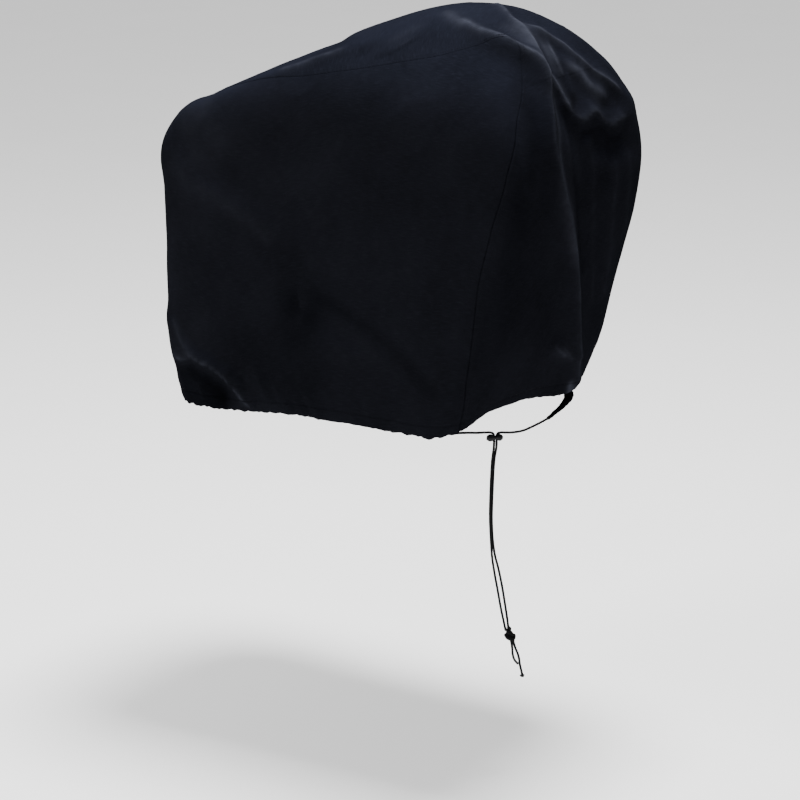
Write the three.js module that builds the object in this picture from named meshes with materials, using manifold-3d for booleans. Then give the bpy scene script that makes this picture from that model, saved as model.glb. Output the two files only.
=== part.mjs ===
import * as THREE from 'three';
import { mergeVertices } from 'three/addons/utils/BufferGeometryUtils.js';
import Module from 'manifold-3d';

// A fitted cloth cover, hanging as it is worn: two side panels, a strip over the bow and
// the roof, an aft panel, and a hem drawn in by a cord that hangs from a cord lock.
// Millimetres. +X points aft, +Y to starboard and +Z up. The origin is the point under
// the roof where the cover rests.

const CLOTH = 1.8;         // thickness of the cloth
const GAP = 0.3;           // between neighbouring pieces
const HEM_WIDTH = 21;      // the turned-up hem
const HEM_SWELL = 0.9;     // its extra thickness on each face
const CORD = 3.4;          // diameter of the drawcord
const CORD_SIDES = 8;
const CORD_STEPS = 2;      // between two points of a cord's route
const BORE = (CORD / 2 + GAP) / Math.cos(Math.PI / CORD_SIDES);

const CENTRE = new THREE.Vector3(-150, 0, -370);
const ROUNDING = 14;       // higher makes the body's corners tighter
const TUCK_HEIGHT = 118;   // above the hem, where the drawing in begins
const FOLD_FADE = 0.16;    // share of a fold's length over which each end dies away

// The body is the rounded meeting of these faces. A heading runs from 0 (aft) through 90
// (either side) to 180 (bow), an elevation up from level, a distance out from CENTRE.
const FACES = [
  { name: 'side', heading: 90, elevation: 2, distance: 216 },
  { name: 'shoulder', heading: 90, elevation: 42, distance: 320 },
  { name: 'bow', heading: 180, elevation: -4, distance: 389 },
  { name: 'bow corner', heading: 142, elevation: -1, distance: 394 },
  { name: 'bow top', heading: 180, elevation: 43, distance: 383 },
  { name: 'fore roof', heading: 180, elevation: 67, distance: 312 },
  { name: 'aft roof', heading: 0, elevation: 89, distance: 403 },
  { name: 'roof drop', heading: 0, elevation: 63, distance: 436 },
  { name: 'aft top', heading: 0, elevation: 20.5, distance: 396 },
  { name: 'aft', heading: 0, elevation: -16, distance: 321 },
  { name: 'aft corner', heading: 50, elevation: -10, distance: 409 },
];

// The hem's height and how far the cord draws the cloth in, by heading (port is negative).
const HEM = [
  { heading: -180, height: -671, tuck: 24 },
  { heading: -150, height: -666, tuck: 28 },
  { heading: -100, height: -654, tuck: 15 },
  { heading: -70, height: -655, tuck: 22 },
  { heading: -48, height: -654, tuck: 22 },
  { heading: -36, height: -646, tuck: 30 },
  { heading: -18, height: -643, tuck: 42 },
  { heading: 0, height: -640, tuck: 30 },
  { heading: 18, height: -650, tuck: 34 },
  { heading: 34, height: -660, tuck: 15 },
  { heading: 46, height: -659, tuck: 13 },
  { heading: 70, height: -655, tuck: 20 },
  { heading: 100, height: -654, tuck: 15 },
  { heading: 150, height: -666, tuck: 26 },
  { heading: 180, height: -671, tuck: 24 },
];

// The seam round each side panel: its distance from the middle by the angle turned about
// CENTRE, from the aft hem (-60) up over the roof (90) and down to the bow hem (240).
const SEAM = [
  { turn: -60, half: 172 },
  { turn: -48, half: 190 },
  { turn: -34, half: 210 },
  { turn: -9, half: 213 },
  { turn: 12, half: 210 },
  { turn: 24, half: 203 },
  { turn: 34, half: 176 },
  { turn: 41, half: 129 },
  { turn: 46, half: 104 },
  { turn: 51, half: 92 },
  { turn: 56, half: 124 },
  { turn: 61, half: 145 },
  { turn: 70, half: 160 },
  { turn: 85, half: 174 },
  { turn: 108, half: 183 },
  { turn: 122, half: 182 },
  { turn: 140, half: 160 },
  { turn: 165, half: 146 },
  { turn: 190, half: 146 },
  { turn: 240, half: 142 },
];
const BOW_TOP = 140;       // turn of the seam's bow top corner
const AFT_TOP = 41;        // turn of the seam across the cover, where strip and aft panel meet

// Folds: ridges (height > 0) and troughs along paths on the cloth.
const FOLDS = [
  { name: 'long ridge', height: 12, width: 20, path: [[-20, -95, -10], [24, -85, -13],
    [75, -89, -25], [110, -78, -38], [138, -55, -59], [159, -55, -89], [184, -77, -142],
    [200, -90, -205], [204, -72, -265], [190, -18, -346], [162, 47, -446], [131, 110, -553],
    [94, 168, -632], [82, 184, -660]] },
  { name: 'port of the long ridge', height: -6, width: 36, path: [[70, -120, -45],
    [150, -125, -110], [170, -155, -170], [185, -145, -260], [160, -95, -380],
    [130, -20, -480], [100, 60, -570]] },
  { name: 'starboard of the long ridge', height: -7, width: 28, path: [[150, -15, -85],
    [178, -42, -125], [198, -40, -185], [206, -15, -245], [185, 40, -340], [165, 110, -450],
    [125, 155, -560]] },
  { name: 'roof centre', height: 6, width: 16, path: [[16, 20, 0], [42, -2, -3], [68, -12, -10],
    [108, -25, -31], [139, -42, -60], [160, -55, -92], [175, -68, -120]] },
  { name: 'short ridge', height: 5, width: 13, path: [[95, 12, -28], [121, 5, -41],
    [148, -10, -71], [166, -10, -101], [184, -9, -140]] },
  { name: 'starboard roof', height: 7, width: 18, path: [[70, -12, -10], [100, 4, -25],
    [123, 29, -43], [154, 67, -81], [171, 112, -114], [181, 154, -142], [176, 196, -180]] },
  { name: 'roof flap', height: 4, width: 15, path: [[140, -8, -62], [157, 21, -86],
    [172, 51, -114], [182, 83, -136], [190, 90, -160]] },
  { name: 'aft brow', height: 7, width: 22, path: [[165, -40, -100], [182, -24, -138],
    [190, 0, -160], [190, 48, -156], [195, 72, -178], [197, 98, -183], [195, 140, -178],
    [182, 183, -175]] },
  { name: 'under the brow', height: -6, width: 28, path: [[200, 0, -200], [202, 70, -220],
    [196, 130, -225], [180, 190, -230]] },
  { name: 'foot of the ridge', height: 5, width: 15, path: [[138, 0, -530], [134, 27, -545],
    [119, 106, -580], [112, 140, -590]] },
  { name: 'port diagonal', height: 5, width: 36, path: [[-520, -160, -235], [-472, -199, -262],
    [-397, -213, -305], [-295, -215, -342], [-195, -217, -400]] },
  { name: 'port hollow', height: -6, width: 48, path: [[-240, -218, -395], [-140, -219, -450],
    [-40, -219, -520], [51, -219, -592]] },
  { name: 'port bow crease', height: 5, width: 15, path: [[-500, -150, -500],
    [-472, -203, -553], [-443, -215, -581], [-365, -221, -603], [-299, -216, -645]] },
  { name: 'port bow foot', height: -5, width: 22, path: [[-490, -160, -590],
    [-440, -205, -622], [-395, -213, -640]] },
  { name: 'port gather one', height: 4, width: 11, path: [[-345, -221, -585], [-318, -219, -620],
    [-289, -216, -658]] },
  { name: 'port gather two', height: 4, width: 11, path: [[-293, -222, -570], [-272, -220, -610],
    [-253, -217, -658]] },
  { name: 'port gather three', height: 4, width: 11, path: [[-245, -221, -590],
    [-227, -218, -631], [-215, -216, -658]] },
  { name: 'port gather four', height: 3, width: 12, path: [[-196, -220, -600],
    [-175, -217, -630], [-155, -216, -656]] },
  { name: 'port shoulder', height: 2.5, width: 14, path: [[-330, -172, -125], [-272, -174, -106],
    [-198, -154, -77], [-117, -132, -50], [-70, -120, -38]] },
  { name: 'bow face', height: -10, width: 60, path: [[-530, 60, -250], [-538, 0, -400],
    [-530, -60, -560]] },
  { name: 'bow port edge', height: -5, width: 34, path: [[-505, -165, -270],
    [-505, -170, -380], [-500, -170, -480], [-490, -170, -560]] },
  { name: 'starboard diagonal', height: 6, width: 36, path: [[-520, 150, -240],
    [-440, 208, -300], [-330, 216, -370], [-220, 218, -420], [-120, 219, -440]] },
  { name: 'starboard hollow', height: -7, width: 50, path: [[-260, 218, -300],
    [-120, 218, -330], [20, 217, -420], [90, 215, -540]] },
  { name: 'starboard aft ridge', height: 6, width: 26, path: [[40, 205, -160],
    [90, 214, -260], [110, 215, -420], [100, 212, -600]] },
  { name: 'starboard bow crease', height: 6, width: 18, path: [[-480, 190, -540],
    [-430, 214, -575], [-350, 219, -610], [-290, 216, -655]] },
  { name: 'starboard gather', height: 4, width: 12, path: [[-230, 221, -575],
    [-210, 219, -615], [-190, 216, -658]] },
  { name: 'starboard gather two', height: 4, width: 12, path: [[-90, 221, -590],
    [-75, 219, -625], [-65, 216, -658]] },
  { name: 'starboard shoulder', height: 3, width: 18, path: [[-320, 170, -122],
    [-220, 165, -90], [-110, 140, -54], [-20, 110, -22]] },
];

// Grid of each panel: the hem's rows above its edge, then even rows and columns.
const HEM_ROWS = [
  { height: 0, swell: 1 },
  { height: 7.5, swell: 1 },
  { height: 15, swell: 1 },
  { height: HEM_WIDTH, swell: 1 },
  { height: HEM_WIDTH + 2, swell: 0 },
];
const UPRIGHT = 22;        // rows from the hem to a panel's top corners
const ALONG = 26;          // columns along the side panels
const ACROSS = 20;         // columns across the strip and the aft panel

// Turns between which each end's hem lies.
const HEM_TURNS = { bow: [180, 238], aft: [0, -58] };

// The cord lock, its middle and the way its two lobes point.
const LOCK = new THREE.Vector3(96, -94.5, -671);
const LOCK_WAY = new THREE.Vector3(0.839, 0.545, 0);
const LOCK_SIZE = { lobe: [5.4, 4.8, 4.8], apart: 15.4, neck: [9, 8, 5.2], slot: [8.4, 4.2] };
const CORD_PITCH = 4.3;    // between the two cords inside the lock
const BEND = 6.8;          // radius of the cords' bend over the lock
const LEAD = 8.2;          // straight stretch of cord on the run's side of the bend
const DROP = 12;           // straight stretch of cord below the lock

// Cord routes, the hand-set points between the bends at the lock and the pieces' ends.
const PORT_RUN = [[79, -169, -647.6], [84, -153, -650.4], [87, -139, -654], [89, -127, -656.5]];
const STARBOARD_RUN = [[77.3, 175.7, -663.3], [80.5, 168, -671.5], [85, 151, -674],
  [91, 122, -676], [97.5, 94, -678], [103, 62, -677.5], [110, 1, -673.5],
  [110.5, -33, -671.5], [107.5, -58, -667.5]];
const PORT_TAIL = [[92.4, -97.2, -709], [91, -98.8, -760], [90.9, -99.1, -810], [92, -98.3, -844],
  [93.8, -96.9, -874], [97.2, -93.9, -903], [101.2, -91.2, -929], [106.2, -87.8, -963],
  [110.2, -85.3, -985], [112.9, -83.6, -1000]];
const STARBOARD_TAIL = [[94.6, -93.2, -709], [92.4, -94.8, -760], [91.5, -95.3, -810],
  [92.9, -94.5, -844], [96.5, -93.2, -869], [102.3, -90.2, -895], [107.5, -87, -925],
  [112.2, -84, -959], [115.2, -82, -983], [116.7, -81.1, -1000]];
const KNOT = {
  middle: [118.3, -80, -1008.5], size: [8.8, 7.6, 15], lean: 0.3, groove: 0.14, segments: 10,
};
const TWIST = 4;            // turn of a knot's grooves from its waist to its end, in radians
const SHORT_END = [[119.5, -79.3, -1016], [121, -78.3, -1025], [121.2, -78.1, -1035],
  [123.3, -76.7, -1047], [126, -75, -1053]];
const LONG_END = [[122, -77.4, -1013], [125.5, -75.2, -1024], [129, -72.9, -1034],
  [132.4, -70.8, -1044], [133.2, -70.3, -1052], [133.2, -70.3, -1059], [134.6, -69.4, -1068],
  [136.2, -68.4, -1076.5]];
const END_KNOT = {
  middle: [136.2, -68.4, -1078.5], size: [4.4, 3.6, 3.4], lean: 0.3, groove: 0.12, segments: 8,
};

// The gathered end of the hem's casing, round the cord at the starboard corner: its
// half width and half depth at each step along the cord.
const CASING = [
  { along: 0, width: 8.2, depth: 5 },
  { along: 0.2, width: 7, depth: 4.6 },
  { along: 0.45, width: 5.2, depth: 4.2 },
  { along: 0.7, width: 4, depth: 3.7 },
  { along: 0.88, width: 3.4, depth: 3.3 },
  { along: 1, width: 3, depth: 3 },
];
const CASING_POINTS = 4;    // of the cord's route that the casing covers
const CASING_STEPS = 2;     // between two of these points
const CASING_SIDES = 10;
const CASING_RIPPLE = [1.04, 0.93];

const radians = THREE.MathUtils.degToRad;
const degrees = THREE.MathUtils.radToDeg;
const lerp = THREE.MathUtils.lerp;

// A smooth curve through a table's rows that doesn't overshoot them.
function curve(rows, x, y) {
  const xs = rows.map((r) => r[x]);
  const ys = rows.map((r) => r[y]);
  const slope = xs.slice(1).map((v, i) => (ys[i + 1] - ys[i]) / (v - xs[i]));
  const lean = xs.map((v, i) => {
    if (i === 0 || i === xs.length - 1) return 0;
    const [a, b] = [slope[i - 1], slope[i]];
    return a * b <= 0 ? 0 : (2 * a * b) / (a + b);
  });
  return (value) => {
    const t = THREE.MathUtils.clamp(value, xs[0], xs[xs.length - 1]);
    let i = 0;
    while (i < xs.length - 2 && t > xs[i + 1]) i += 1;
    const h = xs[i + 1] - xs[i];
    const s = (t - xs[i]) / h;
    return ys[i] * (1 + 2 * s) * (1 - s) ** 2 + ys[i + 1] * s * s * (3 - 2 * s)
      + h * lean[i] * s * (1 - s) ** 2 + h * lean[i + 1] * s * s * (s - 1);
  };
}

const hemHeight = curve(HEM, 'heading', 'height');
const hemTuck = curve(HEM, 'heading', 'tuck');
const seamHalf = curve(SEAM, 'turn', 'half');

// The value between a and b where f turns from negative to positive or back.
function root(f, a, b) {
  const start = Math.sign(f(a));
  for (let i = 0; i < 40; i += 1) {
    const middle = (a + b) / 2;
    if (Math.sign(f(middle)) === start) a = middle; else b = middle;
  }
  return (a + b) / 2;
}

// Directions from CENTRE: by heading and elevation, or by turn and angle off the middle.
function compass(heading, elevation) {
  const [h, e] = [radians(heading), radians(elevation)];
  return new THREE.Vector3(Math.cos(e) * Math.cos(h), Math.cos(e) * Math.sin(h), Math.sin(e));
}
function turned(turn, off) {
  const [t, o] = [radians(turn), radians(off)];
  return new THREE.Vector3(Math.cos(o) * Math.cos(t), Math.sin(o), Math.cos(o) * Math.sin(t));
}

const WALLS = FACES.flatMap((face) => {
  const mirrored = face.heading % 180 === 0 ? [1] : [1, -1];
  return mirrored.map((side) => compass(side * face.heading, face.elevation)
    .divideScalar(face.distance));
});

const headingOf = (v) => degrees(Math.atan2(v.y, v.x));

// The body's surface in a direction, drawn in near the hem.
function body(direction) {
  const sum = WALLS.reduce((s, w) => s + Math.max(0, w.dot(direction)) ** ROUNDING, 0);
  const v = direction.clone().divideScalar(sum ** (1 / ROUNDING));
  const heading = headingOf(v);
  const height = v.z + CENTRE.z - hemHeight(heading);
  const t = THREE.MathUtils.clamp(1 - height / TUCK_HEIGHT, 0, 1.3);
  const flat = 1 - (hemTuck(heading) * t * t) / Math.hypot(v.x, v.y, 1);
  return new THREE.Vector3(v.x * flat, v.y * flat, v.z).add(CENTRE);
}

// The outward normal of a surface given by direction.
function normalOf(surface, direction) {
  const step = 0.004;
  const aside = new THREE.Vector3(0, 0, 1);
  if (Math.abs(direction.z) > 0.9) aside.set(1, 0, 0);
  const e1 = aside.cross(direction).normalize();
  const e2 = direction.clone().cross(e1).normalize();
  const at = (e, s) => surface(direction.clone().addScaledVector(e, s).normalize());
  const a = at(e1, step).sub(at(e1, -step));
  const b = at(e2, step).sub(at(e2, -step));
  return a.cross(b).normalize();
}

const FOLD_LINES = FOLDS.map((fold) => {
  const line = new THREE.CatmullRomCurve3(fold.path.map((p) => new THREE.Vector3(...p)));
  return { ...fold, points: line.getPoints(4 * (fold.path.length - 1)) };
});

// How far the folds lift the cloth at a point.
function rise(point) {
  let sum = 0;
  const segment = new THREE.Line3();
  const near = new THREE.Vector3();
  for (const { height, width, points } of FOLD_LINES) {
    let [best, along] = [Infinity, 0];
    for (let i = 0; i < points.length - 1; i += 1) {
      segment.set(points[i], points[i + 1]);
      const s = segment.closestPointToPointParameter(point, true);
      const distance = segment.at(s, near).distanceTo(point);
      if (distance < best) [best, along] = [distance, (i + s) / (points.length - 1)];
    }
    const fade = THREE.MathUtils.smoothstep(Math.min(along, 1 - along), 0, FOLD_FADE);
    sum += height * fade * Math.exp(-((best / width) ** 2));
  }
  return sum;
}

// The draped cloth in a direction.
function cloth(direction) {
  const point = body(direction);
  return point.addScaledVector(normalOf(body, direction), rise(point));
}

// The seam's direction at a turn; side is 1 for starboard and -1 for port.
function offAt(turn) {
  const half = seamHalf(turn);
  return root((off) => body(turned(turn, off)).y - half, 0, 80);
}
const seam = (turn, side) => turned(turn, side * offAt(turn));

function aboveHem(direction) {
  const point = body(direction);
  return point.z - hemHeight(headingOf(point.clone().sub(CENTRE)));
}

// The turn at which the line a share of the way to the seam is some height above the hem,
// at the bow or aft end.
function turnAbove(height, share, end) {
  return root((turn) => aboveHem(turned(turn, share * offAt(turn))) - height, ...HEM_TURNS[end]);
}

// The rows of a panel across the middle, from the hem up to `top` and on to each of `over`.
function panelAcross(end, top, over = []) {
  const columns = Array.from({ length: ACROSS + 1 }, (_, j) => {
    const share = (2 * j) / ACROSS - 1;
    const line = (turn) => turned(turn, share * offAt(turn));
    const hem = HEM_ROWS.map((row) => turnAbove(row.height, share, end));
    const last = hem[hem.length - 1];
    const up = Array.from({ length: UPRIGHT }, (_, i) => lerp(last, top, (i + 1) / UPRIGHT));
    return [...hem, ...up, ...over].map(line);
  });
  return columns[0].map((_, i) => columns.map((column) => column[i]));
}

// A side panel's rows, from the bow seam to the aft seam.
function panelBeside(side) {
  const chart = (d) => {
    const [off, turn] = [Math.PI / 2 - Math.asin(side * d.y), Math.atan2(d.z, d.x)];
    return new THREE.Vector2(off * Math.cos(turn), off * Math.sin(turn));
  };
  const fromChart = (p) => turned(degrees(p.angle()), side * (90 - degrees(p.length())));
  const hem = HEM_ROWS.map(({ height }) => {
    const bow = seam(turnAbove(height, side, 'bow'), side);
    const aft = seam(turnAbove(height, side, 'aft'), side);
    const cot = (d) => d.x / Math.abs(d.y);
    return Array.from({ length: ALONG + 1 }, (_, j) => {
      if (j === 0) return bow;
      if (j === ALONG) return aft;
      const heading = degrees(Math.atan2(1, lerp(cot(bow), cot(aft), j / ALONG)));
      const f = (elevation) => aboveHem(compass(side * heading, elevation)) - height;
      return compass(side * heading, root(f, 0, -75));
    });
  });
  const last = HEM_ROWS[HEM_ROWS.length - 1].height;
  const [bowTurn, aftTurn] = [turnAbove(last, side, 'bow'), turnAbove(last, side, 'aft')];
  const low = hem[hem.length - 1].map(chart);
  const high = low.map((_, j) => chart(seam(lerp(BOW_TOP, AFT_TOP, j / ALONG), side)));
  const rows = Array.from({ length: UPRIGHT }, (_, k) => {
    const v = (k + 1) / UPRIGHT;
    const bow = seam(lerp(bowTurn, BOW_TOP, v), side);
    const aft = seam(lerp(aftTurn, AFT_TOP, v), side);
    const [left, right] = [chart(bow), chart(aft)];
    return low.map((start, j) => {
      const u = j / ALONG;
      if (j === 0) return bow;
      if (j === ALONG) return aft;
      if (k === UPRIGHT - 1) return seam(lerp(BOW_TOP, AFT_TOP, u), side);
      const blend = (key) => lerp(start[key], high[j][key], v) + lerp(left[key], right[key], u)
        - lerp(lerp(low[0][key], low[ALONG][key], u), lerp(high[0][key], high[ALONG][key], u), v);
      return fromChart(new THREE.Vector2(blend('x'), blend('y')));
    });
  });
  return [...hem, ...rows];
}

// A closed sheet on a grid of directions. Its sides and its top are seams, which keep half
// the gap clear; its first row is the hem's free edge. Each cell is split along the diagonal
// that lies closer to the cloth.
function sheet(rows) {
  const [n, m] = [rows.length, rows[0].length];
  const points = rows.map((row) => row.map((d) => cloth(d)));
  const normals = rows.map((row) => row.map((d) => normalOf(cloth, d)));
  const outer = [];
  const inner = [];
  for (let i = 0; i < n; i += 1) {
    const swell = i < HEM_ROWS.length ? HEM_ROWS[i].swell * HEM_SWELL : 0;
    for (let j = 0; j < m; j += 1) {
      const normal = normals[i][j];
      const point = points[i][j].clone();
      const inset = (before, after, inside) => {
        const way = after.clone().sub(before).cross(normal).normalize();
        if (way.dot(inside.clone().sub(points[i][j])) < 0) way.negate();
        point.addScaledVector(way, GAP / 2);
      };
      const [up, down] = [Math.min(i + 1, n - 1), Math.max(i - 1, 0)];
      const [right, left] = [Math.min(j + 1, m - 1), Math.max(j - 1, 0)];
      if (j === 0) inset(points[down][0], points[up][0], points[i][1]);
      if (j === m - 1) inset(points[down][j], points[up][j], points[i][m - 2]);
      if (i === n - 1) inset(points[i][left], points[i][right], points[n - 2][j]);
      outer.push(point.clone().addScaledVector(normal, swell));
      inner.push(point.clone().addScaledVector(normal, -CLOTH - swell));
    }
  }
  const corner = new THREE.Triangle(points[0][0], points[0][1], points[1][1]);
  const flip = corner.getNormal(new THREE.Vector3()).dot(normals[0][0]) < 0;
  const index = [];
  const inside = n * m;
  const quad = (p, q, r, s) => {
    if (flip) index.push(p, r, q, p, s, r); else index.push(p, q, r, p, r, s);
  };
  const id = (i, j) => i * m + j;
  for (let i = 0; i < n - 1; i += 1) {
    for (let j = 0; j < m - 1; j += 1) {
      const cell = [[i, j], [i, j + 1], [i + 1, j + 1], [i + 1, j]];
      const middle = cloth(cell.reduce((sum, [a, b]) => sum.add(rows[a][b]), new THREE.Vector3())
        .normalize());
      const miss = (a, b) => points[a[0]][a[1]].clone().add(points[b[0]][b[1]]).divideScalar(2)
        .distanceTo(middle);
      if (miss(cell[1], cell[3]) < miss(cell[0], cell[2])) cell.push(cell.shift());
      const [p, q, r, s] = cell.map(([a, b]) => id(a, b));
      quad(p, q, r, s);
      quad(inside + p, inside + s, inside + r, inside + q);
    }
    quad(id(i, 0), id(i + 1, 0), inside + id(i + 1, 0), inside + id(i, 0));
    quad(id(i, m - 1), inside + id(i, m - 1), inside + id(i + 1, m - 1), id(i + 1, m - 1));
  }
  for (let j = 0; j < m - 1; j += 1) {
    quad(id(0, j), inside + id(0, j), inside + id(0, j + 1), id(0, j + 1));
    quad(id(n - 1, j), id(n - 1, j + 1), inside + id(n - 1, j + 1), inside + id(n - 1, j));
  }
  const geometry = new THREE.BufferGeometry().setFromPoints([...outer, ...inner]);
  geometry.setIndex(index);
  geometry.computeVertexNormals();
  return geometry;
}

// Turns a piece to the lock's lobes.
const FACING = new THREE.Matrix4().makeRotationZ(Math.atan2(LOCK_WAY.y, LOCK_WAY.x));

const wasm = await Module();
wasm.setup();

function toSolid(geometry) {
  const bare = geometry.clone();
  for (const name of Object.keys(bare.attributes)) {
    if (name !== 'position') bare.deleteAttribute(name);
  }
  const merged = mergeVertices(bare, 1e-4);
  const mesh = new wasm.Mesh({
    numProp: 3,
    vertProperties: new Float32Array(merged.attributes.position.array),
    triVerts: new Uint32Array(merged.index.array),
  });
  return new wasm.Manifold(mesh);
}

function fromSolid(solid) {
  const mesh = solid.getMesh();
  const geometry = new THREE.BufferGeometry();
  geometry.setAttribute('position', new THREE.BufferAttribute(mesh.vertProperties, 3));
  geometry.setIndex(new THREE.BufferAttribute(mesh.triVerts, 1));
  geometry.computeVertexNormals();
  return geometry;
}

// A curve through points, stepped evenly between them, so more closely where they are close.
class Route extends THREE.CatmullRomCurve3 {
  constructor(points) {
    super(points.map((p) => (p.isVector3 ? p : new THREE.Vector3(...p))), false, 'centripetal');
  }

  getSpacedPoints(steps) {
    return this.getPoints(steps);
  }

  getTangentAt(t, target) {
    return this.getTangent(t, target);
  }
}

// A round cord of some radius along a route.
function rope(route, radius = CORD / 2) {
  const outline = new THREE.Shape(Array.from({ length: CORD_SIDES }, (_, i) => {
    const angle = ((i + 0.5) * 2 * Math.PI) / CORD_SIDES;
    return new THREE.Vector2(radius * Math.cos(angle), radius * Math.sin(angle));
  }));
  const steps = CORD_STEPS * (route.points.length - 1);
  return new THREE.ExtrudeGeometry(outline, { steps, extrudePath: route });
}

// A cord from its run, over the bend into the lock, and down as a tail.
function overLock(run, tail, way) {
  const at = (out, up) => LOCK.clone().addScaledVector(LOCK_WAY, way * out)
    .add(new THREE.Vector3(0, 0, up));
  const near = CORD_PITCH / 2;
  const foot = LOCK_SIZE.neck[2] / 2;
  const bend = [90, 45, 0].map((angle) => at(
    near + BEND * (1 - Math.cos(radians(angle))),
    foot + BEND * Math.sin(radians(angle)),
  ));
  return [...run, at(near + BEND + LEAD, foot + BEND), ...bend, at(near, -foot),
    at(near, -foot - DROP), ...tail];
}

// A lumpy round solid, with two grooves winding round it, leaning in the lock's plane.
function lump({ middle, size, lean, groove, segments }) {
  const geometry = new THREE.SphereGeometry(1, segments, Math.round(segments * 0.7));
  const position = geometry.attributes.position;
  const v = new THREE.Vector3();
  for (let i = 0; i < position.count; i += 1) {
    v.fromBufferAttribute(position, i);
    const wave = Math.cos(2 * Math.atan2(v.z, v.x) + TWIST * v.y) * (1 - v.y * v.y);
    v.multiplyScalar(1 + groove * wave);
    position.setXYZ(i, v.x * size[0], -v.z * size[1], v.y * size[2]);
  }
  geometry.applyMatrix4(FACING);
  const axis = new THREE.Vector3(LOCK_WAY.y, -LOCK_WAY.x, 0).normalize();
  geometry.applyQuaternion(new THREE.Quaternion().setFromAxisAngle(axis, lean));
  return geometry.translate(...middle);
}

// The lock: two rounded lobes on a neck, with a slot and two bends cut for the cords.
function lockGeometry(routes) {
  const { lobe, apart, neck, slot } = LOCK_SIZE;
  const ball = (side) => new THREE.SphereGeometry(1, 10, 7).scale(...lobe)
    .translate((side * apart) / 2, 0, 0);
  const half = (slot[0] - slot[1]) / 2;
  const hole = new THREE.Shape();
  hole.absarc(half, 0, slot[1] / 2, -Math.PI / 2, Math.PI / 2, false);
  hole.absarc(-half, 0, slot[1] / 2, Math.PI / 2, (3 * Math.PI) / 2, false);
  const cut = new THREE.ExtrudeGeometry(hole, {
    depth: 2 * neck[2], bevelEnabled: false, curveSegments: 4,
  }).translate(0, 0, -neck[2]);
  const place = new THREE.Matrix4().makeTranslation(LOCK).multiply(FACING);
  const piece = (geometry) => toSolid(geometry.applyMatrix4(place));
  let solid = piece(ball(1)).add(piece(ball(-1))).add(piece(new THREE.BoxGeometry(...neck)))
    .subtract(piece(cut));
  for (const route of routes) solid = solid.subtract(toSolid(rope(route, BORE)));
  return fromSolid(solid);
}

// The casing's gathered end: a tapering tube with rippled sides round the cord.
function casingGeometry(route) {
  const steps = CASING_STEPS * CASING_POINTS;
  const width = curve(CASING, 'along', 'width');
  const depth = curve(CASING, 'along', 'depth');
  const share = CASING_POINTS / (route.points.length - 1);
  const rings = Array.from({ length: steps + 1 }, (_, i) => {
    const along = i / steps;
    const at = route.getPoint(along * share);
    const way = route.getTangent(along * share);
    const out = way.clone().cross(new THREE.Vector3(1, 0, 0)).normalize();
    const side = out.clone().cross(way);
    const ring = (w, d) => Array.from({ length: CASING_SIDES }, (_, j) => {
      const angle = (j * 2 * Math.PI) / CASING_SIDES;
      return at.clone().addScaledVector(side, w * Math.cos(angle))
        .addScaledVector(out, d * Math.sin(angle));
    });
    const ripple = CASING_RIPPLE[i % 2];
    return { outer: ring(width(along) * ripple, depth(along) * ripple), inner: ring(BORE, BORE) };
  });
  const points = rings.flatMap((ring) => [...ring.outer, ...ring.inner]);
  const index = [];
  const id = (i, j, layer) => (2 * i + layer) * CASING_SIDES + (j % CASING_SIDES);
  const quad = (p, q, r, s) => index.push(p, q, r, p, r, s);
  for (let j = 0; j < CASING_SIDES; j += 1) {
    for (let i = 0; i < steps; i += 1) {
      quad(id(i, j, 0), id(i, j + 1, 0), id(i + 1, j + 1, 0), id(i + 1, j, 0));
      quad(id(i, j + 1, 1), id(i, j, 1), id(i + 1, j, 1), id(i + 1, j + 1, 1));
    }
    quad(id(0, j + 1, 0), id(0, j, 0), id(0, j, 1), id(0, j + 1, 1));
    quad(id(steps, j, 0), id(steps, j + 1, 0), id(steps, j + 1, 1), id(steps, j, 1));
  }
  const geometry = new THREE.BufferGeometry().setFromPoints(points);
  geometry.setIndex(index);
  geometry.computeVertexNormals();
  return geometry;
}

const CLOTH_LOOK = { color: 0x14161c, roughness: 0.62, metalness: 0 };
const CORD_LOOK = { color: 0x17181b, roughness: 0.8, metalness: 0 };
const LOCK_LOOK = { color: 0x3a3d40, roughness: 0.45, metalness: 0 };

const cover = new THREE.Group();
function add(name, geometry, look) {
  const mesh = new THREE.Mesh(geometry, new THREE.MeshStandardMaterial(look));
  mesh.name = name;
  cover.add(mesh);
}

const over = Array.from({ length: ALONG }, (_, j) => lerp(BOW_TOP, AFT_TOP, (j + 1) / ALONG));
add('side_port', sheet(panelBeside(-1)), CLOTH_LOOK);
add('side_starboard', sheet(panelBeside(1)), CLOTH_LOOK);
add('bow_and_roof', sheet(panelAcross('bow', BOW_TOP, over)), CLOTH_LOOK);
add('aft_panel', sheet(panelAcross('aft', AFT_TOP)), CLOTH_LOOK);

const portCord = new Route(overLock(PORT_RUN, PORT_TAIL, -1));
const starboardCord = new Route(overLock(STARBOARD_RUN, STARBOARD_TAIL, 1));
const shortEnd = new Route(SHORT_END);
const longEnd = new Route(LONG_END);
add('drawcord_port', rope(portCord), CORD_LOOK);
add('drawcord_starboard', rope(starboardCord), CORD_LOOK);
add('casing_end', casingGeometry(starboardCord), CLOTH_LOOK);
add('cord_lock', lockGeometry([portCord, starboardCord]), LOCK_LOOK);

// Cuts a pocket for a cord that ends inside a piece, a little deeper than the cord.
function pocket(solid, route, atStart) {
  const [end, way] = atStart ? [route.getPoint(0), route.getTangent(0).negate()]
    : [route.getPoint(1), route.getTangent(1)];
  const past = (distance) => end.clone().addScaledVector(way, distance);
  const bottom = new Route([past(-CORD / 2), past(2 * GAP)]);
  return solid.subtract(toSolid(rope(route, BORE))).subtract(toSolid(rope(bottom, BORE)));
}

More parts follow.
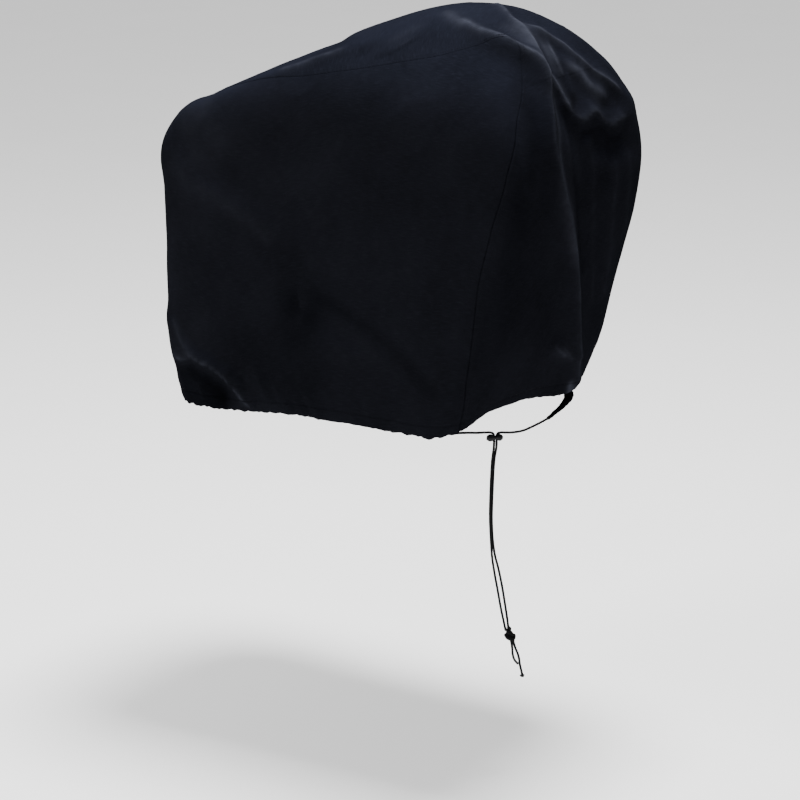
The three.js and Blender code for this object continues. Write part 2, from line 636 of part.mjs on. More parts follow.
let knot = toSolid(lump(KNOT));
for (const route of [portCord, starboardCord]) knot = pocket(knot, route, false);
for (const route of [shortEnd, longEnd]) knot = pocket(knot, route, true);
add('cord_knot', fromSolid(knot), CORD_LOOK);
add('cord_end_short', rope(shortEnd), CORD_LOOK);
add('cord_end_long', rope(longEnd), CORD_LOOK);
const endKnot = pocket(toSolid(lump(END_KNOT)), longEnd, false);
add('cord_end_knot', fromSolid(endKnot), CORD_LOOK);

export default cover;
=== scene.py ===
"""A fitted cloth cover as it is worn, with its drawcord: panels, folds, seams, hem and cords.

Metres and degrees, apart from the tables of folds and creases, which are in millimetres. +X
points aft, +Y to starboard and +Z up, from the point under the roof where it rests. What it is
pulled over isn't part of it.
"""
import math

import bmesh
import bpy
import numpy as np
from mathutils import Matrix, Vector, kdtree, noise


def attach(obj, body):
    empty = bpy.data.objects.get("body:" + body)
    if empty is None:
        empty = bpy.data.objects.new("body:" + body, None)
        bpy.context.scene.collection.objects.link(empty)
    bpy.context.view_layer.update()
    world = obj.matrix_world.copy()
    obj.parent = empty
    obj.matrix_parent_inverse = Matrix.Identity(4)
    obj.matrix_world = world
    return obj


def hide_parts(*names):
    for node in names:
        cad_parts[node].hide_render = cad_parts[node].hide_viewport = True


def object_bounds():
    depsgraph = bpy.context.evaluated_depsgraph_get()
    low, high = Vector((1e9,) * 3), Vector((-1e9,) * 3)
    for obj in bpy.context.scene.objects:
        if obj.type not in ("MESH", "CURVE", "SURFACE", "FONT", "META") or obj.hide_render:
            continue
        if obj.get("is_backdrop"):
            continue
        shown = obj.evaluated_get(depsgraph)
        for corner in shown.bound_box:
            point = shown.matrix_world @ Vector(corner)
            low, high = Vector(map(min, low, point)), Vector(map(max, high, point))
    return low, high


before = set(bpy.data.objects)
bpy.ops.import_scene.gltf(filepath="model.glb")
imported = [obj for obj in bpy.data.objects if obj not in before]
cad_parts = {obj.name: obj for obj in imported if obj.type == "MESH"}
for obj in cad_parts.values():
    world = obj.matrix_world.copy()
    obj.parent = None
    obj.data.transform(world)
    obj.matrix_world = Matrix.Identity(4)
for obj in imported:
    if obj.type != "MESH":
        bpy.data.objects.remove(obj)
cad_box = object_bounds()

scene = bpy.context.scene

CAMERA = {
    "place": (2.2107, -3.6222, 0.5798),
    "back": (0.52406, -0.80510, 0.27781),  # from what it looks at towards the camera
    "lens": 121.08,
    "sensor": 36,
}
UP = np.array((0, 0, 1))


def add_object(name, data):
    made = bpy.data.objects.new(name, data)
    scene.collection.objects.link(made)
    return made


camera = add_object("camera", bpy.data.cameras.new("camera"))
camera.data.lens = CAMERA["lens"]
camera.data.sensor_width = CAMERA["sensor"]
camera.location = CAMERA["place"]
camera.rotation_euler = Vector(CAMERA["back"]).to_track_quat("Z", "Y").to_euler()
scene.camera = camera


def spline(points, steps):
    """Points along a centripetal curve through the given ones, `steps` to each stretch."""
    p = np.array([tuple(v) for v in points], float)
    p = np.vstack([2 * p[0] - p[1], p, 2 * p[-1] - p[-2]])
    t = np.linspace(0, 1, steps, endpoint=False)[:, None]
    parts = []
    for a, b, c, d in zip(p, p[1:], p[2:], p[3:]):
        t1, t2, t3 = (math.sqrt(np.linalg.norm(v - u)) for u, v in ((a, b), (b, c), (c, d)))
        m1 = ((b - a) / t1 - (c - a) / (t1 + t2) + (c - b) / t2) * t2
        m2 = ((c - b) / t2 - (d - b) / (t2 + t3) + (d - c) / t3) * t2
        parts.append(b + m1 * t + (3 * (c - b) - 2 * m1 - m2) * t**2
                     + (2 * (b - c) + m1 + m2) * t**3)
    return np.vstack([*parts, p[-2:-1]])


def lengths(line):
    """How far along a line of points each of them lies."""
    steps = np.linalg.norm(np.diff(line, axis=0), axis=1)
    return np.concatenate([[0], np.cumsum(steps)])


def read(values, along, wanted):
    """The rows of values that would lie at the wanted lengths along."""
    return np.stack([np.interp(wanted, along, values[:, k]) for k in range(3)], axis=1)


def even(line, step):
    """The line's points, spaced evenly about `step` apart."""
    along = lengths(line)
    count = max(2, round(along[-1] / step) + 1)
    return read(line, along, np.linspace(0, along[-1], count))


def carried_frames(line, upright=0.1):
    """Two directions across a line at each point, carried along it without a twist."""
    ways = np.gradient(line, axis=0)
    ways /= np.linalg.norm(ways, axis=1)[:, None]
    side = np.cross(ways[0], UP)
    if np.linalg.norm(side) < upright:
        side = np.cross(ways[0], (1, 0, 0))
    sides = []
    for way in ways:
        side = side - way * side.dot(way)
        side = side / np.linalg.norm(side)
        sides.append(side)
    sides = np.array(sides)
    return sides, np.cross(ways, sides)


def mesh_object(name, points, faces):
    mesh = bpy.data.meshes.new(name)
    mesh.from_pydata(np.asarray(points).tolist(), [], [list(f) for f in faces])
    mesh.polygons.foreach_set("use_smooth", [True] * len(mesh.polygons))
    return add_object(name, mesh)


def stand_in(made, node):
    """Makes a piece stand for a node of the frame."""
    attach(made, "root")
    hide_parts(node)
    return made


def ring_faces(rings, sides):
    """Faces of a tube of rings, with a fan at each end round the two points after them."""
    pairs = [(j, (j + 1) % sides) for j in range(sides)]
    faces = [(a + j, a + k, a + sides + k, a + sides + j)
             for a in range(0, (rings - 1) * sides, sides) for j, k in pairs]
    first, end = rings * sides, (rings - 1) * sides
    for j, k in pairs:
        faces += [(first, k, j), (first + 1, end + j, end + k)]
    return faces


def round_about(sides):
    return np.linspace(0, 2 * math.pi, sides, endpoint=False)


def tube(line, radius, sides):
    """Points and faces of a closed tube; radius(along, angle) is in metres."""
    across, up = carried_frames(line)
    angles = round_about(sides)
    along = lengths(line)
    r = radius(along[:, None], angles[None, :]) * np.ones((len(line), sides))
    points = (line[:, None] + across[:, None] * (r * np.cos(angles))[..., None]
              + up[:, None] * (r * np.sin(angles))[..., None])
    points = np.vstack([points.reshape(-1, 3), line[:1], line[-1:]])
    return points, ring_faces(len(line), sides)


# The drawcord, in two halves that run along the hem's aft edge, bend down through the lock
# and hang to the knot.
CORD = 0.0041  # diameter
CORD_SIDES = 14
CORD_STEP = 0.0011  # between its rings
ROUTE_STEPS = 24  # of the curve between two points of a cord's route
LOCK = np.array((0.096, -0.0945, -0.671))
LOCK_WAY = np.array((0.839, 0.545, 0))
LOCK_FOOT = 0.0026  # below the lock's middle, where a cord's bend begins
PITCH = 0.0042  # between the two cords inside the lock
BEND = 0.0056  # radius of the cords' bend over the lock
LEAD = 0.0082  # straight stretch of cord on the run's side of the bend
DROP = 0.012  # straight stretch of cord below the lock
PORT_RUN = [
    (0.0752, -0.1785, -0.6463), (0.0765, -0.1745, -0.6468), (0.0795, -0.167, -0.6478),
    (0.084, -0.153, -0.6504), (0.087, -0.139, -0.6536), (0.089, -0.127, -0.656)]
STARBOARD_RUN = [
    (0.0773, 0.1757, -0.6633), (0.0805, 0.168, -0.6715), (0.085, 0.151, -0.674),
    (0.091, 0.122, -0.676), (0.0975, 0.094, -0.6755), (0.103, 0.062, -0.6765),
    (0.11, 0.001, -0.674), (0.1105, -0.033, -0.6728), (0.1075, -0.058, -0.6698)]
PORT_TAIL = [
    (0.0923, -0.0974, -0.709), (0.0908, -0.099, -0.76), (0.0906, -0.0994, -0.81),
    (0.092, -0.0983, -0.844), (0.0938, -0.0969, -0.874), (0.0972, -0.0939, -0.903),
    (0.1012, -0.0912, -0.929), (0.1062, -0.0878, -0.963), (0.1102, -0.0853, -0.985),
    (0.1129, -0.0836, -1)]
STARBOARD_TAIL = [
    (0.0942, -0.0937, -0.709), (0.0924, -0.0951, -0.76), (0.0915, -0.0953, -0.81),
    (0.0931, -0.0943, -0.844), (0.0965, -0.0932, -0.869), (0.1023, -0.0902, -0.895),
    (0.1075, -0.087, -0.925), (0.1122, -0.084, -0.959), (0.1152, -0.082, -0.983),
    (0.1167, -0.0811, -1)]
SHORT_END = [
    (0.1203, -0.0787, -1.0166), (0.1223, -0.0779, -1.0297), (0.1234, -0.0779, -1.0411),
    (0.1265, -0.0773, -1.0502), (0.1323, -0.0752, -1.0572)]
LONG_END = [
    (0.1231, -0.0769, -1.0175), (0.1265, -0.0747, -1.0306), (0.1302, -0.0723, -1.0419),
    (0.1319, -0.0712, -1.0507), (0.1329, -0.0705, -1.0595), (0.1348, -0.0693, -1.0691),
    (0.1362, -0.0684, -1.0765)]


def over_lock(run, tail, way):
    """A cord's points from its run, over the bend into the lock, and down as a tail."""
    def at(out, up):
        return LOCK + LOCK_WAY * way * out + UP * up
    near = PITCH / 2
    bend = [at(near + BEND * (1 - math.cos(math.radians(angle))),
               LOCK_FOOT + BEND * math.sin(math.radians(angle))) for angle in (90, 45, 0)]
    return [*run, at(near + BEND + LEAD, LOCK_FOOT + BEND), *bend, at(near, -LOCK_FOOT),
            at(near, -LOCK_FOOT - DROP), *tail]


BRAID = {"strands": 4, "pitch": 0.011, "relief": 0.055}


def braid(along, angle):
    """A cord's radius: two sets of strands wind opposite ways and cross."""
    n, turn = BRAID["strands"], 2 * math.pi / BRAID["pitch"] * along
    left = np.cos(n / 2 * (angle + turn)) ** 2
    right = np.cos(n / 2 * (angle - turn)) ** 2
    return CORD / 2 * (1 - BRAID["relief"] * (1 - np.maximum(left, right)) * 2)


def cord_piece(name, stands_for, points):
    line = even(spline(points, ROUTE_STEPS), CORD_STEP)
    made = mesh_object(name, *tube(line, braid, CORD_SIDES))
    return stand_in(made, stands_for), line


port_points = over_lock(PORT_RUN, PORT_TAIL, -1)
starboard_points = over_lock(STARBOARD_RUN, STARBOARD_TAIL, 1)
port_cord, port_line = cord_piece("port_cord", "drawcord_port", port_points)
starboard_cord, starboard_line = cord_piece("starboard_cord", "drawcord_starboard",
                                            starboard_points)
short_end, short_line = cord_piece("short_end", "cord_end_short", SHORT_END)
long_end, long_line = cord_piece("long_end", "cord_end_long", LONG_END)

# The cover's body is the rounded meeting of these faces. A heading runs from 0 (aft) through
# 90 (either side) to 180 (bow), an elevation up from level, a distance out from CENTRE.
CENTRE = np.array((-0.15, 0, -0.37))
ROUNDING = 14  # the higher, the sharper the body's edges
TUCK_HEIGHT = 0.118  # above the hem, where the cord stops drawing the cloth in
TUCK_REACH = 1.3  # how far past the hem's height the cord still draws the cloth in
NOT_ZERO = 1e-6  # keeps a root above 0
BOW_TOP = 140  # turns of the corners of the side panels
AFT_TOP = 41  # and of the seam across
FACES = [  # name, heading, elevation, distance from CENTRE, fitted to the photo's outline
    ("side", 90, 2, 0.216),
    ("shoulder", 90, 42, 0.32),
    ("bow", 180, -4, 0.389),
    ("bow corner", 142, -1, 0.394),
    ("bow top", 180, 43, 0.383),
    ("fore roof", 180, 67, 0.312),
    ("aft roof", 0, 89, 0.403),
    ("roof drop", 0, 63, 0.436),
    ("aft top", 0, 20.5, 0.396),
    ("aft", 0, -16, 0.321),
    ("aft corner", 50, -10, 0.409),
]
LOWEST = -75.0  # elevation below every part of the hem
HEM = [  # heading, height, how far the cord draws the cloth in
    (-180, -0.671, 0.024),
    (-150, -0.673, 0.022),
    (-100, -0.654, 0.015),
    (-70, -0.655, 0.022),
    (-48, -0.654, 0.022),
    (-36, -0.646, 0.03),
    (-18, -0.643, 0.042),
    (0, -0.64, 0.03),
    (18, -0.65, 0.034),
    (34, -0.66, 0.015),
    (46, -0.659, 0.013),
    (70, -0.655, 0.02),
    (100, -0.654, 0.015),
    (150, -0.666, 0.026),
    (180, -0.671, 0.024),
]
SEAM = [  # turn, distance from the middle
    (-60, 0.172),
    (-48, 0.19),
    (-34, 0.21),
    (-9, 0.213),
    (12, 0.21),
    (24, 0.203),
    (34, 0.176),
    (41, 0.129),
    (46, 0.104),
    (51, 0.092),
    (56, 0.124),
    (61, 0.145),
    (70, 0.16),
    (85, 0.174),
    (108, 0.183),
    (122, 0.182),
    (140, 0.16),
    (165, 0.146),
    (190, 0.146),
    (240, 0.142),
]
# The main folds and then the creases that lie on them, in millimetres. A crease has flanks of
# some height and width, and `edge` is how round its top is. `glow` is how much painted
# highlight lies along it, or below 0 how much painted shade. A trough has a height below 0.
# The points that the photo shows were picked there by eye and worked out on the body by a
# scratch program.
FOLDS = [  # name, height, width, path
    ("long ridge", 12, 20, [
        (-20, -95, -10), (27, -89, -15), (81, -100, -32), (115, -94, -45), (141, -78, -64),
        (160, -79, -92), (184, -99, -142), (199, -113, -202), (204, -95, -259), (192, -40, -338),
        (165, 25, -437), (134, 88, -544), (94, 168, -632), (82, 184, -660)]),
    ("port of the long ridge", -6, 36, [
        (71, -121, -46), (150, -119, -109), (171, -150, -170), (185, -138, -262), (159, -86, -384),
        (129, -11, -484), (100, 59, -570)]),
    ("starboard of the long ridge", -7, 28, [
        (151, -24, -86), (178, -42, -125), (198, -26, -186), (206, -2, -248), (184, 51, -344),
        (163, 124, -456), (125, 155, -560)]),
    ("roof centre", 6, 16, [
        (16, 20, 0), (45, -8, -4), (77, -32, -15), (113, -42, -35), (142, -65, -65),
        (161, -79, -95), (175, -89, -121)]),
    ("short ridge", 5, 13, [
        (97, 7, -29), (125, -11, -44), (149, -21, -73), (166, -18, -102), (184, -13, -140)]),
    ("starboard roof", 5, 18, [
        (79, -33, -15), (106, -13, -29), (127, 9, -47), (156, 47, -83), (172, 94, -115),
        (183, 138, -142), (176, 196, -180)]),
    ("roof flap", 4, 15, [
        (141, -19, -64), (158, 10, -87), (172, 38, -115), (182, 73, -136), (190, 86, -160)]),
    ("aft brow", 6, 22, [
        (165, -43, -100), (182, -30, -138), (190, -9, -160), (190, 30, -156), (195, 59, -177),
        (197, 82, -182), (195, 127, -177), (182, 183, -175)]),
    ("under the brow", -6, 28, [
        (200, 7, -201), (202, 83, -222), (196, 140, -227), (180, 190, -230)]),
    ("foot of the ridge", 5, 15, [
        (137, 6, -533), (135, 20, -542), (123, 86, -570), (114, 119, -583)]),
    ("port diagonal", 5, 36, [
        (-520, -160, -235), (-464, -202, -260), (-391, -213, -303), (-290, -215, -340),
        (-198, -217, -401)]),
    ("port hollow", -6, 48, [
        (-238, -218, -394), (-143, -219, -451), (-43, -219, -521), (51, -219, -592)]),
    ("port bow crease", 5, 15, [
        (-500, -150, -500), (-461, -209, -549), (-436, -217, -578), (-360, -221, -600),
        (-299, -216, -645)]),
    ("port bow foot", -5, 22, [
        (-490, -160, -590), (-445, -199, -630), (-395, -213, -640)]),
    ("port gather one", 4, 11, [
        (-344, -221, -584), (-316, -219, -619), (-289, -216, -658)]),
    ("port gather two", 4, 11, [
        (-293, -222, -570), (-269, -220, -608), (-253, -217, -658)]),
    ("port gather three", 4, 11, [
        (-244, -221, -590), (-227, -218, -631), (-215, -216, -658)]),
    ("port gather four", 3, 12, [
        (-196, -220, -600), (-175, -217, -630), (-155, -216, -656)]),
    ("port shoulder", 2.5, 14, [
        (-330, -172, -125), (-269, -176, -107), (-193, -158, -79), (-114, -134, -51),
        (-70, -120, -38)]),
    ("fore roof fall", -8, 55, [
        (-450, -160, -170), (-379, -143, -133), (-298, -122, -97), (-228, -87, -67),
        (-185, -62, -50)]),
    ("bow face", -10, 60, [
        (-530, 60, -250), (-538, 0, -400), (-530, -60, -560)]),
    ("bow port edge", -5, 34, [
        (-505, -165, -270), (-505, -170, -380), (-500, -170, -480), (-490, -170, -560)]),
    ("starboard diagonal", 6, 36, [
        (-520, 150, -240), (-440, 208, -300), (-330, 216, -370), (-220, 218, -420),
        (-120, 219, -440)]),
    ("starboard hollow", -7, 50, [
        (-260, 218, -300), (-120, 218, -330), (20, 217, -420), (90, 215, -540)]),
    ("starboard aft ridge", 6, 26, [
        (40, 205, -160), (90, 214, -260), (110, 215, -420), (100, 212, -600)]),
    ("starboard bow crease", 6, 18, [
        (-480, 190, -540), (-430, 214, -575), (-350, 219, -610), (-290, 216, -655)]),
    ("starboard gather", 4, 12, [
        (-230, 221, -575), (-210, 219, -615), (-190, 216, -658)]),
    ("starboard gather two", 4, 12, [
        (-90, 221, -590), (-75, 219, -625), (-65, 216, -658)]),
    ("starboard shoulder", 3, 18, [
        (-320, 170, -122), (-220, 165, -90), (-110, 140, -54), (-20, 110, -22)]),
]

RIDGE_CREST = [
    (15, -77, -9), (56, -98, -23), (83, -99, -32), (102, -95, -38), (116, -93, -45),
    (128, -87, -53), (141, -78, -64), (151, -74, -77), (160, -76, -92), (172, -86, -115),
    (184, -99, -142), (196, -114, -183), (204, -111, -218), (204, -95, -259), (198, -61, -311),
    (185, -21, -365), (165, 25, -437), (151, 55, -488), (134, 88, -544), (111, 136, -597),
    (89, 180, -638)]
PLEATS = [  # small ones above the port hem, from aft to the bow
    [(-204, -220, -599), (-190, -217, -619), (-177, -213, -645)],
    [(-261, -222, -580), (-240, -220, -606), (-222, -214, -641)],
    [(-281, -222, -582), (-267, -220, -609), (-252, -215, -642)],
    [(-313, -222, -585), (-307, -219, -616), (-300, -215, -646)],
    [(-331, -222, -593), (-328, -219, -622), (-330, -215, -650)],
]
CREASES = [  # name, height, width, edge, glow, path
    ("long ridge", 3.5, 6, 1.8, 0.26, RIDGE_CREST),
    # painted highlight along the upper part of the long ridge, with no lift
    ("long ridge, rubbed", 0, 6, 1.8, 0.55, RIDGE_CREST[:10]),
    ("lit face of the ridge", 0, 9, 10, 0.19, [
        (168, -58, -105), (186, -70, -147), (200, -89, -198), (204, -94, -254), (194, -53, -324),
        (175, 0, -400)]),
    ("starboard face of the ridge", -4, 12, 6, -0.3, [
        (167, -36, -100), (181, -48, -134), (190, -39, -158), (198, -36, -189), (205, -40, -244),
        (197, -6, -322), (170, 60, -430)]),
    ("second roof crest", 3, 6, 1.6, 0.6, [
        (7, 18, -2), (41, -6, -3), (77, -32, -15), (95, -35, -23), (113, -42, -35), (128, -47, -47),
        (142, -65, -65), (153, -76, -81)]),
    ("beside the second crest", 0, 20, 22, 0.36, [
        (73, -36, -13), (103, -44, -28), (127, -51, -47), (145, -51, -67)]),
    ("third roof crest", 3, 6, 1.6, 0.65, [
        (90, -24, -20), (106, -13, -29), (118, -8, -39), (127, 9, -47), (138, 25, -58),
        (147, 33, -70), (156, 47, -83), (165, 66, -99), (172, 94, -115), (178, 120, -130),
        (183, 138, -142)]),
    ("fourth roof crest", 2.8, 6, 1.8, 0.8, [
        (125, -11, -44), (137, -16, -57), (149, -21, -73), (160, -23, -89), (166, -18, -102)]),
    ("fifth roof crest", 2.8, 6, 1.8, 0.85, [
        (150, -71, -76), (162, -48, -94), (171, -38, -111), (179, -33, -130), (185, -25, -145),
        (188, -17, -154)]),
    ("brow", 4.5, 8, 2, 0.35, [
        (185, -25, -145), (188, -17, -154), (191, -8, -162), (191, 6, -162), (189, 29, -155),
        (191, 41, -161), (194, 51, -172), (196, 65, -180), (197, 82, -182), (196, 104, -178),
        (194, 133, -177)]),
    ("under the brow", -5.5, 12, 5, -0.4, [
        (196, -22, -172), (199, 6, -182), (200, 37, -182), (200, 52, -182), (203, 80, -201),
        (204, 111, -205), (202, 141, -200)]),
    ("between second and fourth", -3, 9, 5, 0.25, [
        (105, -22, -31), (129, -22, -51), (150, -32, -78), (166, -28, -104)]),
    ("lit lobe", 3, 12, 8, 0.5, [
        (153, -10, -78), (158, 10, -87), (165, 30, -98), (172, 38, -115), (178, 54, -127),
        (182, 73, -136), (187, 82, -150)]),
    ("port bow crease, outer", 3, 7, 2.5, 0.42, [
        (-478, -193, -587), (-452, -212, -591), (-428, -217, -590), (-411, -220, -581)]),
    ("port bow crease, upper", 3.5, 7, 2, 0.3, [
        (-465, -207, -521), (-449, -214, -538), (-435, -217, -558), (-420, -219, -574),
        (-411, -220, -581), (-394, -221, -587)]),
    ("port bow crease, stem", 4, 8, 2.2, 0.48, [
        (-423, -219, -575), (-411, -220, -581), (-390, -221, -588), (-374, -222, -591),
        (-350, -221, -601), (-332, -220, -612), (-316, -218, -629), (-299, -216, -643),
        (-293, -215, -649)]),
    ("first gather", 3, 6, 1.8, 0.08, [
        (-291, -222, -578), (-276, -221, -598), (-261, -219, -615), (-243, -217, -640),
        (-235, -216, -652)]),
    ("second gather", 2.8, 6, 1.8, 0.08, [
        (-263, -221, -597), (-246, -220, -603), (-230, -218, -626), (-221, -216, -640),
        (-214, -216, -652)]),
    ("third gather", 2.5, 6, 1.8, 0.06, [
        (-224, -221, -593), (-209, -219, -615), (-201, -217, -631), (-195, -216, -650)]),
    ("fourth gather", 2.2, 6, 1.8, 0.05, [
        (-188, -220, -602), (-176, -219, -619), (-163, -216, -634), (-153, -216, -650)]),
    *[("pleat", -1.2, 3.5, 1, -0.3, path) for path in PLEATS],
    ("port diagonal", 2, 16, 14, 0.07, [
        (-464, -202, -257), (-434, -209, -275), (-416, -211, -293), (-391, -213, -303),
        (-350, -214, -314), (-316, -215, -330), (-289, -215, -345), (-232, -216, -375)]),
    ("port hollow, middle", 0, 36, 46, -0.24, [
        (-220, -218, -410), (-204, -219, -445), (-196, -220, -479), (-200, -221, -515)]),
    ("port hollow", -1, 24, 32, -0.38, [
        (-224, -218, -433), (-212, -219, -466), (-224, -221, -505), (-195, -221, -514),
        (-171, -220, -485), (-187, -219, -452)]),
    ("port hollow, tail", -1, 13, 16, -0.3, [
        (-193, -219, -436), (-163, -219, -449), (-111, -220, -471), (-54, -220, -495),
        (-2, -222, -529), (39, -221, -562), (69, -217, -589)]),
    ("port bow shoulder", 1, 30, 30, 0.09, [
        (-451, -203, -229), (-427, -203, -201), (-403, -200, -175), (-364, -197, -155)]),
    ("port bow shoulder, low", 1, 30, 30, 0.07, [
        (-431, -209, -271), (-394, -211, -246), (-358, -209, -215), (-332, -206, -181)]),
    ("port of the ridge", -1, 35, 40, -0.2, [
        (196, -183, -211), (193, -189, -288), (179, -182, -369), (158, -163, -454),
        (133, -144, -543)]),
    ("port bow pocket", -3, 22, 24, -0.75, [
        (-440, -215, -589), (-429, -216, -604), (-403, -218, -615), (-371, -219, -625),
        (-325, -216, -640)]),
    ("port bow pocket, low", 0, 20, 24, -0.55, [
        (-455, -208, -590), (-452, -206, -627), (-432, -209, -647), (-381, -215, -651),
        (-330, -215, -648)]),
    ("port of the ridge, top", 0, 18, 20, -0.35, [
        (164, -120, -103), (186, -136, -151), (199, -159, -200), (200, -179, -250)]),
    ("port low", 0, 50, 50, -0.25, [
        (-413, -220, -530), (-322, -222, -552), (-224, -222, -571), (-107, -221, -577)]),
    ("port diagonal, lower", 1.6, 14, 8, 0, [
        (-232, -216, -375), (-163, -217, -441), (-63, -218, -511), (18, -218, -576)]),
    ("roof port crest", 2, 8, 3, 0.3, [
        (-276, -169, -104), (-243, -170, -97), (-202, -158, -81), (-170, -149, -70),
        (-145, -139, -59)]),
    ("above the roof port crest", -1.5, 14, 12, -0.25, [
        (-293, -119, -95), (-242, -119, -76), (-202, -106, -60), (-166, -111, -50)]),
    ("roof port crest two", 1, 10, 7, 0.09, [
        (-86, -141, -54), (-68, -127, -42), (-48, -110, -28), (-30, -94, -17)]),
    ("roof port crest three", 1, 6, 3, 0.1, [
        (-70, -151, -63), (-51, -137, -49), (-33, -119, -33)]),
    ("roof port trough", -1, 5, 3, -0.22, [
        (-97, -162, -76), (-74, -154, -66), (-50, -142, -53), (-22, -117, -31)]),
    ("roof port trough two", -1, 6, 4, -0.15, [
        (-137, -161, -76), (-117, -154, -68), (-97, -144, -58)]),
    ("soft start of the ridge", 1, 10, 10, 0.3, [
        (-30, -47, -3), (-5, -73, -7), (20, -88, -15), (46, -100, -24)]),
    ("aft foot", 2, 8, 3, 0.3, [
        (136, 15, -536), (128, 54, -557), (123, 81, -570)]),
    ("aft foot two", 1.5, 6, 2, 0.2, [
        (135, 36, -540), (128, 67, -557), (118, 102, -582)]),
    ("hem end", 0, 7, 8, 0.9, [
        (102, 138, -618), (99, 146, -630), (92, 165, -649), (84, 181, -661)]),
    ("aft upright one", 1.6, 12, 6, 0.05, [
        (202, 17, -212), (199, 33, -298), (173, 89, -410), (145, 132, -507)]),
    ("aft upright two", 1.8, 12, 6, 0.08, [
        (204, 87, -224), (198, 96, -307), (175, 132, -399), (146, 168, -496)]),
    ("aft upright three", 1.8, 12, 6, 0.08, [
        (202, 134, -215), (199, 142, -299), (175, 173, -390)]),
    ("mid port crease", -1.2, 4, 2.5, -0.2, [
        (-37, -157, -69), (-29, -168, -82), (-20, -180, -98)]),
]


def curve(rows, column=1):
    """A smooth curve through a table's rows that doesn't overshoot them."""
    xs = np.array([row[0] for row in rows], float)
    ys = np.array([row[column] for row in rows], float)
    slope = np.diff(ys) / np.diff(xs)
    lean = np.zeros(len(xs))
    before, after = slope[:-1], slope[1:]
    same = before * after > 0
    lean[1:-1][same] = 2 * before[same] * after[same] / (before + after)[same]

    def at(value):
        t = np.clip(value, xs[0], xs[-1])
        i = np.clip(np.searchsorted(xs, t, side="right") - 1, 0, len(xs) - 2)
        h = xs[i + 1] - xs[i]
        s = (t - xs[i]) / h
        return (ys[i] * (1 + 2 * s) * (1 - s)**2 + ys[i + 1] * s * s * (3 - 2 * s)
                + h * lean[i] * s * (1 - s)**2 + h * lean[i + 1] * s * s * (s - 1))
    return at


hem_height = curve(HEM)
hem_tuck = curve(HEM, 2)
seam_half = curve(SEAM)


def smooth(value, low, high):
    t = np.clip((value - low) / (high - low), 0, 1)
    return t * t * (3 - 2 * t)


def mix(a, b, t):
    return a + (b - a) * t


def unit(v):
    return v / np.linalg.norm(v, axis=-1, keepdims=True)


def compass(heading, elevation):
    """Directions by heading, from aft towards starboard, and elevation."""
    h, e = np.radians(heading), np.radians(elevation)
    return np.stack(np.broadcast_arrays(
        np.cos(e) * np.cos(h), np.cos(e) * np.sin(h), np.sin(e)), -1)


def turned(turn, off):
    """Directions by turn, from aft over the roof to the bow, and how far off the middle."""
    return compass(turn, off)[..., [0, 2, 1]]


def heading_of(v):
    """The headings of points that are given from CENTRE."""
    return np.degrees(np.arctan2(v[..., 1], v[..., 0]))


WALLS = np.array([compass(side * heading, elevation) / distance
                  for _, heading, elevation, distance in FACES
                  for side in ((1,) if heading % 180 == 0 else (1, -1))])


def body(way):
    """The cover's body in directions from CENTRE, drawn in near the hem."""
    reach = np.sum(np.maximum(way @ WALLS.T, 0)**ROUNDING, axis=-1)**(-1 / ROUNDING)
    v = way * reach[..., None]
    heading = heading_of(v)
    t = np.clip(1 - (v[..., 2] + CENTRE[2] - hem_height(heading)) / TUCK_HEIGHT, 0, TUCK_REACH)
    flat = 1 - hem_tuck(heading) * t * t / np.sqrt(v[..., 0]**2 + v[..., 1]**2 + NOT_ZERO)
    return v * np.stack([flat, flat, np.ones_like(flat)], -1) + CENTRE


def normal_of(way, step=0.004):
    """The body's outward normal in directions."""
    aside = np.where(np.abs(way[..., 2:]) > 0.9, (1.0, 0, 0), (0, 0, 1.0))
    e1 = unit(np.cross(aside, way))
    e2 = np.cross(way, e1)
    a = body(unit(way + e1 * step)) - body(unit(way - e1 * step))
    b = body(unit(way + e2 * step)) - body(unit(way - e2 * step))
    return unit(np.cross(a, b))


def root(f, low, high, steps=34):
    """Where f changes sign between two arrays of values."""
    start = np.sign(f(low))
    for _ in range(steps):
        middle = (low + high) / 2
        same = np.sign(f(middle)) == start
        low, high = np.where(same, middle, low), np.where(same, high, middle)
    return (low + high) / 2


TURNS = np.arange(-64, 244, 0.25)
MOST_OFF = 80.0  # beyond both side seams
OFFS = root(lambda off: body(turned(TURNS, off))[:, 1] - seam_half(TURNS),
            np.zeros(len(TURNS)), np.full(len(TURNS), MOST_OFF))


def off_at(turn):
    """How far off the middle the seam lies."""
    return np.interp(turn, TURNS, OFFS)


def seam_way(turn, share):
    """Directions a share of the way from the middle to the seam: -1 to port, 1 to starboard."""
    return turned(turn, share * off_at(turn))


def above_hem(way):
    point = body(way)
    return point[..., 2] - hem_height(heading_of(point - CENTRE))


def level_ways(heading, height):
    """Directions at some headings to the points some height above the hem."""
    elevation = root(lambda e: above_hem(compass(heading, e)) - height,
                     np.zeros(len(heading)), np.full(len(heading), LOWEST))
    return compass(heading, elevation)


HEM_TURNS = {"bow": (180.0, 238.0), "aft": (0.0, -58.0)}  # between which each end's hem lies


def turn_above(height, share, end):
    """The turn at which the line a share of the way to the seam is some height above the hem."""
    height, share = np.broadcast_arrays(np.asarray(height, float), share)
    low, high = (np.full(height.shape, v) for v in HEM_TURNS[end])
    return root(lambda turn: above_hem(seam_way(turn, share)) - height, low, high)


